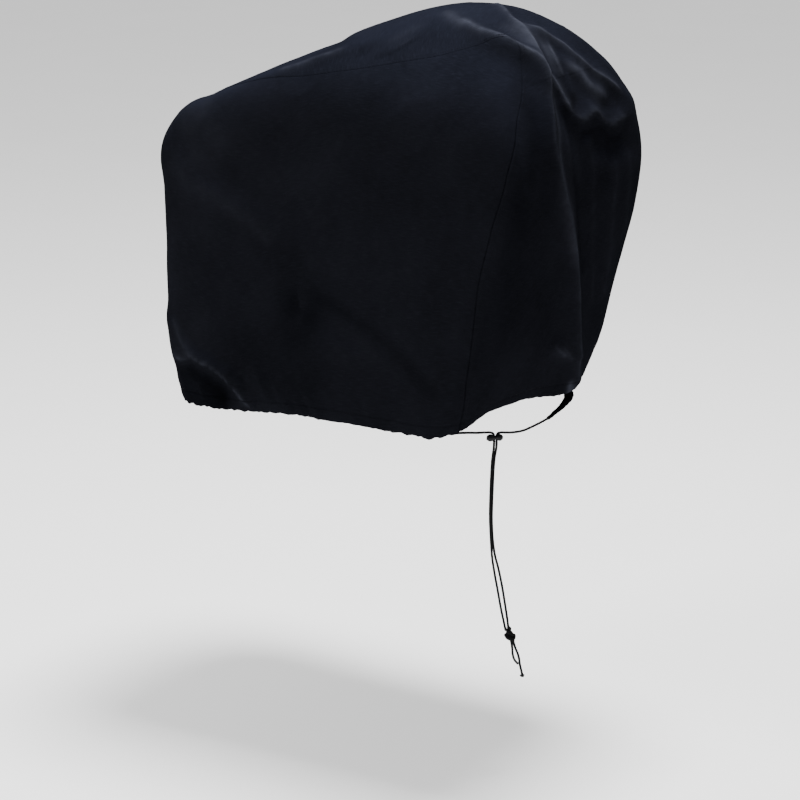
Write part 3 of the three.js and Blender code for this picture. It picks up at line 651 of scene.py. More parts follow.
def beside(points, line, reach):
    """For the points near a line of points: which they are, their distance, and how far along."""
    box_low, box_high = line.min(0) - reach, line.max(0) + reach
    near = np.flatnonzero(((points > box_low) & (points < box_high)).all(1))
    distance, along = np.full(len(near), np.inf), np.zeros(len(near))
    at = lengths(line)
    for i in range(len(line) - 1):
        d = line[i + 1] - line[i]
        rel = points[near] - line[i]
        s = np.clip(rel @ d / (d @ d), 0, 1)
        gap = np.linalg.norm(rel - s[:, None] * d, axis=1)
        closer = gap < distance
        distance[closer] = gap[closer]
        along[closer] = mix(at[i], at[i + 1], s[closer])
    inside = distance < reach
    return near[inside], distance[inside], along[inside] / at[-1]


def metres(millimetres):
    return np.asarray(millimetres, float) / 1000


def on_body(line):
    return body(unit(line - CENTRE))


STEPS = {"fold": 4, "crease": 5}  # of the curve between two points of a path
FOLD_LINES = [(*metres((height, width)), spline(metres(path), STEPS["fold"]))
              for _, height, width, path in FOLDS]
CREASE_LINES = [(*metres((height, width, edge)), glow,
                 on_body(spline(metres(path), STEPS["crease"])))
                for _, height, width, edge, glow, path in CREASES]
REACH = {"fold": 3, "crease": 6}  # in widths, to each side
# Shares of a line's length over which it fades at each end. A crease fades over some of its
# widths, or over "least" in metres if that is more.
FADE = {"fold": 0.16, "widths": 1.5, "least": 0.03, "most": 0.4}
GLOW = {"line": 0.6, "narrow": 0.9, "wide": 1.2}  # how the painted light spreads about a crease: share, edges and widths


def fade(along, share):
    return smooth(np.minimum(along, 1 - along), 0, share)


def rise(points):
    """How far the folds lift the cloth, and the light painted there: highlight above 0, shade
    below.
    """
    lift, painted_light = np.zeros(len(points)), np.zeros(len(points))
    for height, width, line in FOLD_LINES:
        i, distance, along = beside(points, line, REACH["fold"] * width)
        lift[i] += height * fade(along, FADE["fold"]) * np.exp(-(distance / width)**2)
    for height, width, edge, glow, line in CREASE_LINES:
        i, distance, along = beside(points, line, REACH["crease"] * width)
        sharp = np.exp(-(np.sqrt(distance**2 + edge**2) - edge) / width)
        ends = fade(along, min(FADE["most"], max(FADE["least"], FADE["widths"] * width)
                               / lengths(line)[-1]))
        lift[i] += height * ends * sharp
        # painted highlight where glow is above 0, painted shade where it is below 0
        painted_light[i] += glow * ends * (
            GLOW["line"] * np.exp(-(distance / (GLOW["narrow"] * edge))**2)
            + (1 - GLOW["line"]) * np.exp(-(distance / (GLOW["wide"] * width))**2))
    return lift, painted_light


SEED_STEP = 7.3  # between the places in the noise that seeds stand for


def rough(points, size, seed, turns=(1, 1, 1)):
    """Smooth noise of about that size, from -1 to 1."""
    scaled = points * np.asarray(turns) / size + seed * SEED_STEP
    return np.array([noise.noise(p) for p in scaled.tolist()])


# Seams, as lines of points on the body, close together.
SEAM_STEP = 0.0005
SEAM_POINTS = {"side": 2400, "cross": 600}  # before they are spaced evenly


def seam_turns(side):
    return [float(turn_above(0.0, side, end)) for end in ("aft", "bow")]


def line_of(ways):
    return even(body(ways), SEAM_STEP)


SEAM_LINES = {}
for side_name, side in (("port", -1), ("starboard", 1)):
    aft, bow = seam_turns(side)
    SEAM_LINES[side_name] = line_of(seam_way(np.linspace(aft, bow, SEAM_POINTS["side"]), side))
SEAM_LINES["cross"] = line_of(seam_way(AFT_TOP, np.linspace(-1, 1, SEAM_POINTS["cross"])))


def tree_of(points):
    tree = kdtree.KDTree(len(points))
    for i, p in enumerate(points.tolist()):
        tree.insert(p, i)
    tree.balance()
    return tree


SEAM_TREES = {name: tree_of(line) for name, line in SEAM_LINES.items()}


def near_seam(points, name):
    """Which points are near a seam, their distance from it, and the metres along it."""
    line, tree, reach = SEAM_LINES[name], SEAM_TREES[name], SEAMS["near"]
    low, high = line.min(0) - reach, line.max(0) + reach
    inside = np.flatnonzero(((points > low) & (points < high)).all(1))
    found = []
    for i in inside:
        _, k, d = tree.find(points[i])
        if d < reach:
            found.append((i, d, k * SEAM_STEP))
    which, distance, along = np.array(found).reshape(-1, 3).T
    return which.astype(int), distance, along


# The hem's cross-section: how far its outer face stands out and how thick it is, by height.
HEM_TOP = 0.0207  # height of the hem's stitched upper edge
HEM_SHADE = {"depth": 0.3, "width": 0.0012}  # along that edge
HEM_SECTION = [  # height above the edge, lift of the outer face, thickness
    (0, -0.0017, 0.0006),
    (0.0006, -0.0007, 0.0022),
    (0.0016, 0, 0.0032),
    (0.003, 0.0005, 0.0038),
    (0.0055, 0.0009, 0.0042),
    (0.0095, 0.0009, 0.0042),
    (0.014, 0.0005, 0.0036),
    (0.018, 0.0002, 0.0028),
    (0.0197, -0.0002, 0.0018),
    (HEM_TOP, -0.0005, 0.0012),
    (0.0217, -0.0002, 0.0009),
    (0.0235, 0, 0.0009),
]
hem_lift = curve(HEM_SECTION)
hem_thick = curve(HEM_SECTION, 2)

# How strongly the cord gathers the cloth above the hem, by heading.
GATHER = [  # heading, strength
    (-180, 0.7),
    (-166, 1),
    (-140, 1),
    (-112, 0.75),
    (-84, 0.35),
    (-66, 0.45),
    (-52, 1),
    (-40, 0.9),
    (-26, 0.3),
    (0, 0.25),
    (24, 0.45),
    (44, 1),
    (60, 0.6),
    (90, 0.35),
    (120, 0.8),
    (146, 1),
    (180, 0.7),
]
gather = curve(GATHER)
GATHERS = {  # waves just above the hem, and how much more they stand out than sink in
    "length": 0.030, "least": 0.02, "lift": 0.0022, "out": 0.6,
    "size": 0.012, "turns": (1, 1, 0.28)}
SCALLOPS = {"length": 0.010, "drop": 0.00352, "size": 0.0075, "turns": (1, 1, 0.2)}
SEAMS = {
    "near": 0.029,
    "groove": 0.0010, "width": 0.0010, "sunk": (0.7, 0.6),  # steady and varying shares
    "shade": 0.55, "shaded": 0.0013, "dark": (0.8, 0.5),
    "pucker": 0.0011, "reach": 0.008, "size": 0.009,
    "stitch": 0.0062, "dent": 0.0002, "dented": 0.0008,
    "lap": 0.00025, "lap_ends": (0.0008, 0.0024),  # past the stitches
    "cross": 0.14,  # how plain the seam across is
}
SEAM_SHARE = [  # metres along from the aft hem, how plain the seam and its shadow are
    (0, 1.0),
    (0.5, 1.0),
    (0.64, 0.25),
    (0.95, 0.15),
    (1.2, 0.8),
]
seam_share = curve(SEAM_SHARE)
UNEVEN = [  # seed, size and lift of the cloth's own soft swells
    (1, 0.16, 0.0016),
    (2, 0.07, 0.0009),
    (4, 0.03, 0.00022),
]
WRINKLES = {"size": 0.075, "turns": (1, 1, 0.7), "lift": 0.0008}
SEEDS = {"wrinkles": 3, "gathers": 5, "scallops": 6}


def skin(way, lapped=()):
    """The outer face of the cloth in directions; `lapped` names the seams it laps over.

    Gives the points, the directions out of the body, the painted highlight and shade, and the hem's
    thickness."""
    shape = way.shape[:-1]
    way = way.reshape(-1, 3)
    point, normal = body(way), normal_of(way)
    lift, painted_light = rise(point)
    heading = heading_of(point - CENTRE)
    height = point[:, 2] - hem_height(heading)

    for seed, size, high in UNEVEN:
        lift += rough(point, size, seed) * high
    ridged = 1 - np.abs(rough(point, WRINKLES["size"], SEEDS["wrinkles"], WRINKLES["turns"])) * 2
    lift += np.maximum(ridged, 0)**3 * WRINKLES["lift"]

    def drawn(length):
        return gather(heading) * np.exp(-np.maximum(height, 0) / length)
    pull = drawn(GATHERS["length"])
    near = pull > GATHERS["least"]
    waves, drop = np.zeros(len(point)), np.zeros(len(point))
    waves[near] = rough(point[near], GATHERS["size"], SEEDS["gathers"], GATHERS["turns"])
    lift += pull * GATHERS["lift"] * (waves + np.abs(waves) * GATHERS["out"])
    lift += hem_lift(height)
    painted_light -= HEM_SHADE["depth"] * np.exp(-((height - HEM_TOP) / HEM_SHADE["width"])**2)
    drop[near] = drawn(SCALLOPS["length"])[near] * SCALLOPS["drop"] * rough(
        point[near], SCALLOPS["size"], SEEDS["scallops"], SCALLOPS["turns"])

    for name in SEAM_LINES:
        close, d, along = near_seam(point, name)
        seed = len(name)
        wobble = np.array([noise.noise((v / SEAMS["size"], 0.0, seed)) for v in along])
        faint = SEAMS["cross"] if name == "cross" else 1.0
        share = faint if name == "cross" else seam_share(along)
        (sunk, sunk_varies), (dark, dark_varies) = SEAMS["sunk"], SEAMS["dark"]
        painted_light[close] -= (SEAMS["shade"] * share * (dark + dark_varies * wobble)
                         * np.exp(-(d / SEAMS["shaded"])**2))
        change = (-SEAMS["groove"] * share * (sunk + sunk_varies * wobble)
                  * np.exp(-(d / SEAMS["width"])**2))
        change += SEAMS["pucker"] * wobble * np.exp(-d / SEAMS["reach"])
        if name in lapped:
            past = d - SEAMS["stitch"]
            change += faint * SEAMS["lap"] * (1 - smooth(past, *SEAMS["lap_ends"]))
            change -= faint * SEAMS["dent"] * np.exp(-(past / SEAMS["dented"])**2)
        lift[close] += change
    outer = point + normal * lift[:, None]
    outer[:, 2] += drop
    return (outer.reshape(*shape, 3), normal.reshape(*shape, 3), painted_light.reshape(shape),
            hem_thick(height).reshape(shape))


FLANGE = (0.002, 0.0045, 0.007)  # the seam allowance's rows, turned in
# Where the grid's first columns and rows lie, from a seam and up from the hem's edge.
NEAR_SEAM = (0.0008, 0.0018, 0.0031, 0.0047, 0.0063, 0.0082, 0.0108)
NEAR_HEM = (0, 0.0006, 0.0016, 0.003, 0.005, 0.0075, 0.0105, 0.0135, 0.0165, 0.0186, 0.0197,
            HEM_TOP, 0.0217, 0.0235, 0.026)
CELL = 0.0038  # of the rest of the grid
SIDE = {"width": 0.52, "height": 0.50}  # of a side panel, to space its grid by
TRACK_POINTS = 1500  # down the middle of a panel, to space its rows by
TINY = 1e-12  # a cell's area, below which the body's normal is taken
JOIN = {"points": 2e-6, "edges": 1e-6}  # points this close, and edges this short


def grid_quads(ids):
    return np.stack([ids[:-1, :-1], ids[:-1, 1:], ids[1:, 1:], ids[1:, :-1]], -1).reshape(-1, 4)


def shares(width):
    """Shares of a width: close together near both ends, and then even."""
    count = max(4, round((width - 2 * NEAR_SEAM[-1]) / CELL))
    inner = np.linspace(NEAR_SEAM[-1], width - NEAR_SEAM[-1], count + 1)
    ends = np.array((0,) + NEAR_SEAM[:-1])
    return np.concatenate([ends, inner, width - ends[::-1]]) / width


def tidy(mesh):
    """Joins points that coincide and drops faces without area."""
    work = bmesh.new()
    work.from_mesh(mesh)
    bmesh.ops.remove_doubles(work, verts=work.verts, dist=JOIN["points"])
    bmesh.ops.dissolve_degenerate(work, edges=work.edges, dist=JOIN["edges"])
    bmesh.ops.delete(work, geom=[v for v in work.verts if not v.link_faces], context="VERTS")
    work.to_mesh(mesh)
    work.free()


def panel(name, node, ways, lapped=()):
    """A closed sheet on a grid of directions, its free first row the hem's edge."""
    f = len(FLANGE)
    outer, out, painted_light, thick = (
        np.pad(a, [(0, f), (f, f)] + [(0, 0)] * (a.ndim - 2), mode="edge")
        for a in skin(ways, lapped))
    n, m = painted_light.shape
    depth = np.zeros((n, m))
    for k, deep in enumerate(FLANGE):
        depth[:, f - 1 - k] = np.maximum(depth[:, f - 1 - k], deep)
        depth[:, m - f + k] = np.maximum(depth[:, m - f + k], deep)
        depth[n - f + k] = np.maximum(depth[n - f + k], deep)
    outer = outer - out * depth[..., None]
    down, right = np.gradient(outer, axis=0), np.gradient(outer, axis=1)
    face = np.cross(right, down)
    size = np.linalg.norm(face, axis=-1, keepdims=True)
    sign = np.sign(np.sum(face * out, axis=-1)[n // 2, m // 2])
    face = np.where(size > TINY, sign * face / np.maximum(size, TINY), out)
    inner = outer - face * thick[..., None]

    count = n * m
    ids = np.arange(count).reshape(n, m)
    quads = grid_quads(ids)
    rim = np.concatenate([ids[0, :-1], ids[:-1, -1], ids[-1, :0:-1], ids[:0:-1, 0]])
    after = np.roll(rim, -1)
    wall = np.stack([after, rim, rim + count, after + count], -1)
    faces = np.concatenate([quads, (quads + count)[:, ::-1], wall])
    if sign > 0:
        faces = faces[:, ::-1]
    made = mesh_object(name, np.vstack([outer.reshape(-1, 3), inner.reshape(-1, 3)]), faces)
    mesh = made.data
    mesh.polygons.foreach_set("material_index", np.concatenate(
        [np.zeros(len(quads)), np.ones(len(quads)), np.zeros(len(wall))]).astype(np.int32))

    seam = np.zeros((n, m), bool)
    seam[:n - f, (f, m - f - 1)] = True
    seam[n - f - 1, f:m - f] = True
    on_seam = np.zeros(2 * count, bool)
    on_seam[:count] = seam.ravel()
    ends = np.zeros(2 * len(mesh.edges), np.int32)
    mesh.edges.foreach_get("vertices", ends)
    mesh.edges.foreach_set("use_edge_sharp", on_seam[ends.reshape(-1, 2)].all(1))

    across = np.cumsum(np.linalg.norm(np.diff(outer, axis=1, prepend=outer[:, :1]), axis=-1), 1)
    across -= across[:, m // 2][:, None]
    up = np.cumsum(np.linalg.norm(np.diff(outer, axis=0, prepend=outer[:1]), axis=-1), 0)
    flat = np.stack([across, up], -1).reshape(-1, 2)
    corners = np.zeros(len(mesh.loops), np.int32)
    mesh.loops.foreach_get("vertex_index", corners)
    mesh.uv_layers.new(name="cloth").data.foreach_set("uv", flat[corners % count].ravel())
    # the painted highlight and shade, kept on the mesh for the material
    mark = mesh.attributes.new("painted_light", "FLOAT", "POINT")
    mark.data.foreach_set("value", np.tile(painted_light.ravel(), 2))
    tidy(mesh)
    return stand_in(made, node)


def strip_ways(end, top):
    """Directions of a panel across the middle, from the hem to the seam where both meet.

    Below `top` its rows follow the hem more and more, and above it they cross level."""
    hem_share = shares(2 * float(seam_half(turn_above(0.0, 1.0, end)))) * 2 - 1
    start = turn_above(NEAR_HEM[-1], hem_share, end)
    first = float(turn_above(NEAR_HEM[-1], 0.0, end))
    track = np.linspace(first, AFT_TOP, TRACK_POINTS)
    along = lengths(body(turned(track, 0.0)))
    last = along[-1] - np.array(NEAR_SEAM[::-1])
    places = np.arange(CELL, last[0] - CELL / 2, CELL)
    columns, ends = len(hem_share), len(NEAR_SEAM) + 1
    rows = []
    for height in NEAR_HEM:
        rows.append(seam_way(turn_above(height, hem_share, end), hem_share))
    for turn in np.interp(np.concatenate([places, last, along[-1:]]), along, track):
        away = min((turn - first) / (top - first), 1)
        turns = mix(start, top, away) if away < 1 else np.full(columns, turn)
        near = np.array((0,) + NEAR_SEAM) / seam_half(turn)
        share = hem_share.copy()
        share[:ends], share[-ends:] = near - 1, (1 - near)[::-1]
        share[ends:-ends] = np.linspace(share[ends - 1], share[-ends], columns - 2 * ends + 2)[1:-1]
        rows.append(seam_way(turns, share))
    return np.array(rows)


def side_ways(side):
    """Directions of a side panel, from the bow seam to the aft seam and from the hem up."""
    u = shares(SIDE["width"])
    v = shares(SIDE["height"])
    v = v[(v > CELL / SIDE["height"]) | (v == 0)]
    hem = []
    for height in NEAR_HEM:
        bow, aft = (seam_way(turn_above(height, side, end), side) for end in ("bow", "aft"))
        cots = mix(bow[0] / abs(bow[1]), aft[0] / abs(aft[1]), u)
        row = level_ways(side * np.degrees(np.arctan2(1, cots)), height)
        row[0], row[-1] = bow, aft
        hem.append(row)

    def chart(d):
        """Directions laid out flat, round the one that looks straight out of the side."""
        off, turn = np.pi / 2 - np.arcsin(side * d[..., 1]), np.arctan2(d[..., 2], d[..., 0])
        return np.stack([off * np.cos(turn), off * np.sin(turn)], -1)

    def from_chart(p):
        off = 90 - np.degrees(np.linalg.norm(p, axis=-1))
        return turned(np.degrees(np.arctan2(p[..., 1], p[..., 0])), side * off)

    bow_turn, aft_turn = (float(turn_above(NEAR_HEM[-1], side, end)) for end in ("bow", "aft"))
    low, high = chart(hem[-1]), chart(seam_way(mix(BOW_TOP, AFT_TOP, u), side))
    left = chart(seam_way(mix(bow_turn, BOW_TOP, v), side))
    right = chart(seam_way(mix(aft_turn, AFT_TOP, v), side))
    uu, vv = u[None, :, None], v[:, None, None]
    grid = (mix(low[None], high[None], vv) + mix(left[:, None], right[:, None], uu)
            - mix(mix(low[0], low[-1], uu), mix(high[0], high[-1], uu), vv))
    return np.concatenate([hem, from_chart(grid)[1:]])


EVERY_SEAM = tuple(SEAM_LINES)
port_side = panel("port_side", "side_port", side_ways(-1))
starboard_side = panel("starboard_side", "side_starboard", side_ways(1))
strip = panel("strip", "bow_and_roof", strip_ways("bow", BOW_TOP), EVERY_SEAM)
aft_cloth = panel("aft_cloth", "aft_panel", strip_ways("aft", AFT_TOP), ("port", "starboard"))

# Stitches: short threads that dip into the cloth at both ends.
STITCH = {"long": 0.0031, "every": 0.0040, "thick": 0.00024, "dip": 0.0003, "sides": 5, "rings": 5,
          "tips": 0.52, "taper": 0.8, "ahead": 0.001}
STITCH_WAYS = {"hem": 3000, "seam": 2600, "clear": 2}  # counts, and degrees left at the ends


def stitches(lines):
    """One mesh of stitches along lines of directions on the skin."""
    x = np.linspace(-1, 1, STITCH["rings"])
    angle = round_about(STITCH["sides"])
    size = STITCH["thick"] * np.sqrt(1 - STITCH["taper"] * x**4)
    profile = np.stack(np.broadcast_arrays(
        (x * STITCH["long"] / 2)[:, None], size[:, None] * np.cos(angle),
        size[:, None] * np.sin(angle) - STITCH["dip"] * (x**4)[:, None]), -1).reshape(-1, 3)
    tips = [(s * STITCH["long"] * STITCH["tips"], 0, -STITCH["dip"]) for s in (-1, 1)]
    profile = np.vstack([profile, tips])
    template = ring_faces(STITCH["rings"], STITCH["sides"])
    points, faces = [], []
    for ways, lapped in lines:
        outer = skin(ways, lapped)[0]
        along = lengths(outer)
        middle = np.arange(STITCH["every"], along[-1], STITCH["every"])
        at = read(outer, along, middle)
        way = unit(read(outer, along, middle + STITCH["ahead"]) - at)
        out = unit(read(normal_of(ways), along, middle))
        out = unit(out - way * np.sum(out * way, -1, keepdims=True))
        side = np.cross(out, way)
        for p, w, s, o in zip(at, way, side, out):
            start = len(points) * len(profile)
            points.append(p + profile @ np.array((w, s, o)))
            faces += [tuple(start + i for i in face) for face in template]
    return np.vstack(points), faces


def beside_seam(side):
    """Directions of the stitches on the strip's side of a side seam."""
    aft, bow = seam_turns(side)
    turn = np.linspace(aft + STITCH_WAYS["clear"], bow - STITCH_WAYS["clear"], STITCH_WAYS["seam"])
    return seam_way(turn, side * (1 - SEAMS["stitch"] / seam_half(turn)))


stitch_lines = [(level_ways(np.linspace(-180, 180, STITCH_WAYS["hem"]), HEM_TOP), ()),
                (beside_seam(-1), EVERY_SEAM), (beside_seam(1), EVERY_SEAM)]
stitching = mesh_object("stitching", *stitches(stitch_lines))
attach(stitching, "root")

# The gathered end of the hem's casing, round the cord at the starboard corner.
CASING = [  # share of the way along, half width, half depth
    (0, 0.0082, 0.005),
    (0.1, 0.0078, 0.0048),
    (0.23, 0.0066, 0.0045),
    (0.48, 0.0047, 0.004),
    (0.72, 0.0038, 0.0035),
    (1, 0.003, 0.003),
]
CASING_STRETCHES = 5  # of the cord's route that the casing covers
CASING_STEP = 0.0008
CASING_SIDES = 28
CASING_CLOTH = 0.0007
CASING_HOLE = CORD / 2 + 0.0003  # least radius inside
SWELL = {"start": 0.2, "falls": 0.08}  # of the gathers, along the casing


def ruffle(along, angle):
    """The casing's gathers: long ones and, half as high, short ones."""
    x, y = math.cos(angle), math.sin(angle)
    return (noise.noise((14 * along + 0.7 * x, 0.9 * y, 4.0))
            + 0.5 * noise.noise((30 * along, 2.2 * x, 2.2 * y)))


def casing():
    route = spline(starboard_points[:CASING_STRETCHES + 2], ROUTE_STEPS)
    line = even(route[:ROUTE_STEPS * CASING_STRETCHES + 1], CASING_STEP)
    along = lengths(line) / lengths(line)[-1]
    way = unit(np.gradient(line, axis=0))
    out = unit(np.cross(way, (1, 0, 0)))
    side = np.cross(out, way)
    angle = round_about(CASING_SIDES)
    gathers = np.array([[ruffle(a, t) for t in angle] for a in along])
    swell = 1 + gathers * (SWELL["start"] - SWELL["falls"] * along[:, None])
    width, depth = (curve(CASING, column)(along)[:, None] * swell for column in (1, 2))

    def face(in_from, least):
        w, d = np.maximum(width - in_from, least), np.maximum(depth - in_from, least)
        return (line[:, None] + side[:, None] * (w * np.cos(angle))[..., None]
                + out[:, None] * (d * np.sin(angle))[..., None])
    outer, inner = face(0, CASING_HOLE + CASING_CLOTH), face(CASING_CLOTH, CASING_HOLE)
    n, m = outer.shape[:2]
    ids = np.arange(n * m).reshape(n, m)
    nxt = np.roll(ids, -1, axis=1)
    quads = grid_quads(np.hstack([ids, ids[:, :1]]))
    ends = [np.stack([nxt[k], ids[k], ids[k] + n * m, nxt[k] + n * m], -1)[:, ::order]
            for k, order in ((0, 1), (-1, -1))]
    faces = np.concatenate([quads, (quads + n * m)[:, ::-1], *ends])
    made = mesh_object("sleeve", np.vstack([outer.reshape(-1, 3), inner.reshape(-1, 3)]), faces)
    return stand_in(made, "casing_end")


sleeve = casing()


def applied(obj):
    """The object with its modifiers applied."""
    graph = bpy.context.evaluated_depsgraph_get()
    made = bpy.data.meshes.new_from_object(obj.evaluated_get(graph), depsgraph=graph)
    obj.modifiers.clear()
    obj.data = made
    made.polygons.foreach_set("use_smooth", [True] * len(made.polygons))
    return obj


def add_lump(work, middle, half, detail):
    bmesh.ops.create_icosphere(work, subdivisions=detail, radius=1,
                               matrix=Matrix.Translation(middle) @ Matrix.Diagonal((*half, 1)))


def blended(name, work, place, voxel, rounds):
    """One closed piece of all that `work` holds, softened where its forms meet."""
    mesh = bpy.data.meshes.new(name)
    work.to_mesh(mesh)
    work.free()
    mesh.transform(place)
    made = add_object(name, mesh)
    remesh = made.modifiers.new("remesh", "REMESH")
    remesh.mode, remesh.voxel_size = "VOXEL", voxel
    soften = made.modifiers.new("soften", "SMOOTH")
    soften.factor, soften.iterations = 0.5, rounds
    return applied(made)


TURN_TO_LOCK = Matrix.Rotation(math.atan2(LOCK_WAY[1], LOCK_WAY[0]), 4, "Z")
LOBES = [  # middle along the lock, across and up, and half sizes
    ((-0.0078, 0, -0.0008), (0.0066, 0.0054, 0.0060)),
    ((0.0064, 0, 0), (0.0062, 0.0052, 0.0057)),
    ((0, 0, 0), (0.0062, 0.0042, 0.0032)),
    ((-0.0126, 0, -0.0026), (0.0018, 0.0024, 0.0024)),
]
LOCK_MESH = {"detail": 4, "voxel": 0.00035, "rounds": 3}
LOCK_HOLES = {"radius": CORD / 2 + 0.00022, "reach": 0.03, "step": 0.0015, "sides": 20}


def lock():
    work = bmesh.new()
    for middle, half in LOBES:
        add_lump(work, middle, half, LOCK_MESH["detail"])
    made = blended("toggle", work, Matrix.Translation(Vector(LOCK)) @ TURN_TO_LOCK,
                   LOCK_MESH["voxel"], LOCK_MESH["rounds"])
    cutters = []
    for line in (port_line, starboard_line):
        near = line[np.linalg.norm(line - LOCK, axis=1) < LOCK_HOLES["reach"]]
        cutter = mesh_object("cutter", *tube(even(near, LOCK_HOLES["step"]),
                                             lambda a, t: LOCK_HOLES["radius"],
                                             LOCK_HOLES["sides"]))
        cut = made.modifiers.new("cut", "BOOLEAN")
        cut.operation, cut.object, cut.solver = "DIFFERENCE", cutter, "EXACT"
        cutters.append(cutter)
    applied(made)
    for cutter in cutters:
        bpy.data.objects.remove(cutter)
    return stand_in(made, "cord_lock")


toggle = lock()

# Knots, as cord wound round a heart, with both in the lock's plane: along it, towards the
# viewer, and up.
KNOT_MESH = {"detail": 3, "steps": 12, "step": 0.0006, "rounds": 1}
KNOT = {
    "middle": (0.1183, -0.080, -1.0085), "lean": 0.3, "voxel": 0.0004, "radius": 0.0021,
    "heart": ((0.0010, 0, 0.0002), (0.0060, 0.0042, 0.0098)),
    "turns": [
        [(-0.0030, -0.0006, 0.0145), (-0.0014, -0.0040, 0.0090), (0.0048, -0.0044, 0.0030),
         (0.0078, -0.0004, -0.0022), (0.0048, 0.0042, -0.0058), (-0.0026, 0.0044, -0.0018),
         (-0.0066, 0.0006, 0.0030), (-0.0056, -0.0040, 0.0012), (0.0004, -0.0056, -0.0034),
         (0.0040, -0.0034, -0.0086), (0.0016, -0.0002, -0.0135)],
        [(0.0026, 0.0010, 0.0145), (0.0040, 0.0040, 0.0090), (0.0000, 0.0052, 0.0052),
         (-0.0056, 0.0030, 0.0018), (-0.0054, -0.0022, -0.0020), (0.0002, -0.0044, -0.0060),
         (0.0062, -0.0028, -0.0060), (0.0074, 0.0020, -0.0020), (0.0034, 0.0046, -0.0076),
         (-0.0004, 0.0022, -0.0110), (-0.0010, 0.0004, -0.0130)]],
}
END_KNOT = {
    "middle": (0.1362, -0.0684, -1.0785), "lean": 0.3, "voxel": 0.00028, "radius": 0.00135,
    "heart": ((0, 0, 0), (0.0024, 0.0018, 0.0018)),
    "turns": [
        [(0, 0, 0.0030), (0.0022, -0.0014, 0.0012), (0.0026, 0.0012, -0.0008),
         (-0.0004, 0.0024, -0.0006), (-0.0028, 0.0002, 0.0008), (-0.0014, -0.0022, -0.0002),
         (0.0014, -0.0014, -0.0018), (0.0006, 0.0006, -0.0026)]],
}


def knot(name, node, facts):
    def relief(along, angle):
        return facts["radius"] / (CORD / 2) * braid(along, angle)
    work = bmesh.new()
    add_lump(work, *facts["heart"], KNOT_MESH["detail"])
    for turn in facts["turns"]:
        line = even(spline(turn, KNOT_MESH["steps"]), KNOT_MESH["step"])
        points, faces = tube(line, relief, CORD_SIDES)
        verts = [work.verts.new(p) for p in points]
        for face in faces:
            work.faces.new([verts[i] for i in face])
    leaning = Matrix.Rotation(facts["lean"], 4, Vector((LOCK_WAY[1], -LOCK_WAY[0], 0)))
    made = blended(name, work, Matrix.Translation(facts["middle"]) @ leaning @ TURN_TO_LOCK,
                   facts["voxel"], KNOT_MESH["rounds"])
    return stand_in(made, node)


wound_knot = knot("wound_knot", "cord_knot", KNOT)
end_knob = knot("end_knob", "cord_end_knot", END_KNOT)


class Look:
    """A material's nodes, with short ways to add and link them."""

    def __init__(self, name):
        self.material = bpy.data.materials.new(name)
        self.material.use_nodes = True
        self.tree = self.material.node_tree
        self.tree.nodes.clear()
        self.shader = self.tree.nodes.new("ShaderNodeBsdfPrincipled")
        out = self.tree.nodes.new("ShaderNodeOutputMaterial")
        self.tree.links.new(self.shader.outputs["BSDF"], out.inputs["Surface"])
        self.place = self.node("ShaderNodeTexCoord").outputs["Object"]

    def put(self, socket, value):
        if isinstance(value, bpy.types.NodeSocket):
            self.tree.links.new(value, socket)
        else:
            socket.default_value = (*value, 1) if socket.type == "RGBA" else value

    def node(self, kind, settings=None, values=(), **inputs):
        """A new node; `values` go to its first sockets in order, and inputs by name."""
        made = self.tree.nodes.new(kind)
        for key, value in (settings or {}).items():
            setattr(made, key, value)
        for socket, value in zip(made.inputs, values):
            self.put(socket, value)
        for key, value in inputs.items():
            self.put(made.inputs[key], value)
        return made

    def math(self, operation, *values):
        return self.node("ShaderNodeMath", {"operation": operation}, values).outputs[0]

    def ranged(self, value, low, high, to_low=0.0, to_high=1.0):
        """A value that runs from to_low to to_high as another does from low to high."""
        values = (value, low, high, to_low, to_high)
        return self.node("ShaderNodeMapRange", None, values).outputs[0]

    def noise(self, scale, detail=3.0, rough=0.5, vector=None):
        """Clouds of 1 / scale metres, or stretched along some other vector."""
        return self.node("ShaderNodeTexNoise", Vector=vector or self.place, Scale=scale,
                         Detail=detail, Roughness=rough).outputs["Fac"]

    def blend(self, amount, a, b, kind="MIX"):
        made = self.node("ShaderNodeMix", {"data_type": "RGBA", "blend_type": kind})
        for socket, value in zip((made.inputs[k] for k in (0, 6, 7)), (amount, a, b)):
            self.put(socket, value)
        return made.outputs[2]

    def bump(self, height, distance, strength=1.0, **under):
        return self.node("ShaderNodeBump", Height=height, Distance=distance, Strength=strength,
                         **under).outputs["Normal"]

    def finish(self, **inputs):
        for key, value in inputs.items():
            self.put(self.shader.inputs[key.replace("_", " ")], value)
        return self.material


THREAD = 0.00055  # between the cloth's threads
THREAD_SHARE = 0.35  # how much each thread stands out, beside where two cross
SLUBS = (60, 900, 1)  # how the thicker threads stretch
PAINTED_SKY_TINT = {"upward": (0.1, 0.85), "tint": (1.12, 1.19, 1.42)}  # painted sky light: lighter and bluer where the coat faces up
SHEEN = (0.62, 0.68, 0.85)
CLOTHS = {  # dark, light, worn and painted highlight colour, roughness
    "shell_cloth": ((0.0036, 0.0038, 0.0050), (0.0052, 0.0055, 0.0074),
                    (0.011, 0.0118, 0.016), (0.032, 0.0345, 0.046), 0.6),
    "coated_back": ((0.006, 0.0063, 0.0072), (0.009, 0.0093, 0.0108),
                    (0.013, 0.0135, 0.0156), (0.013, 0.0135, 0.0156), 0.5),
    "casing_cloth": ((0.0016, 0.0016, 0.0020), (0.0028, 0.0028, 0.0034),
                     (0.005, 0.005, 0.006), (0.005, 0.005, 0.006), 0.65),
}


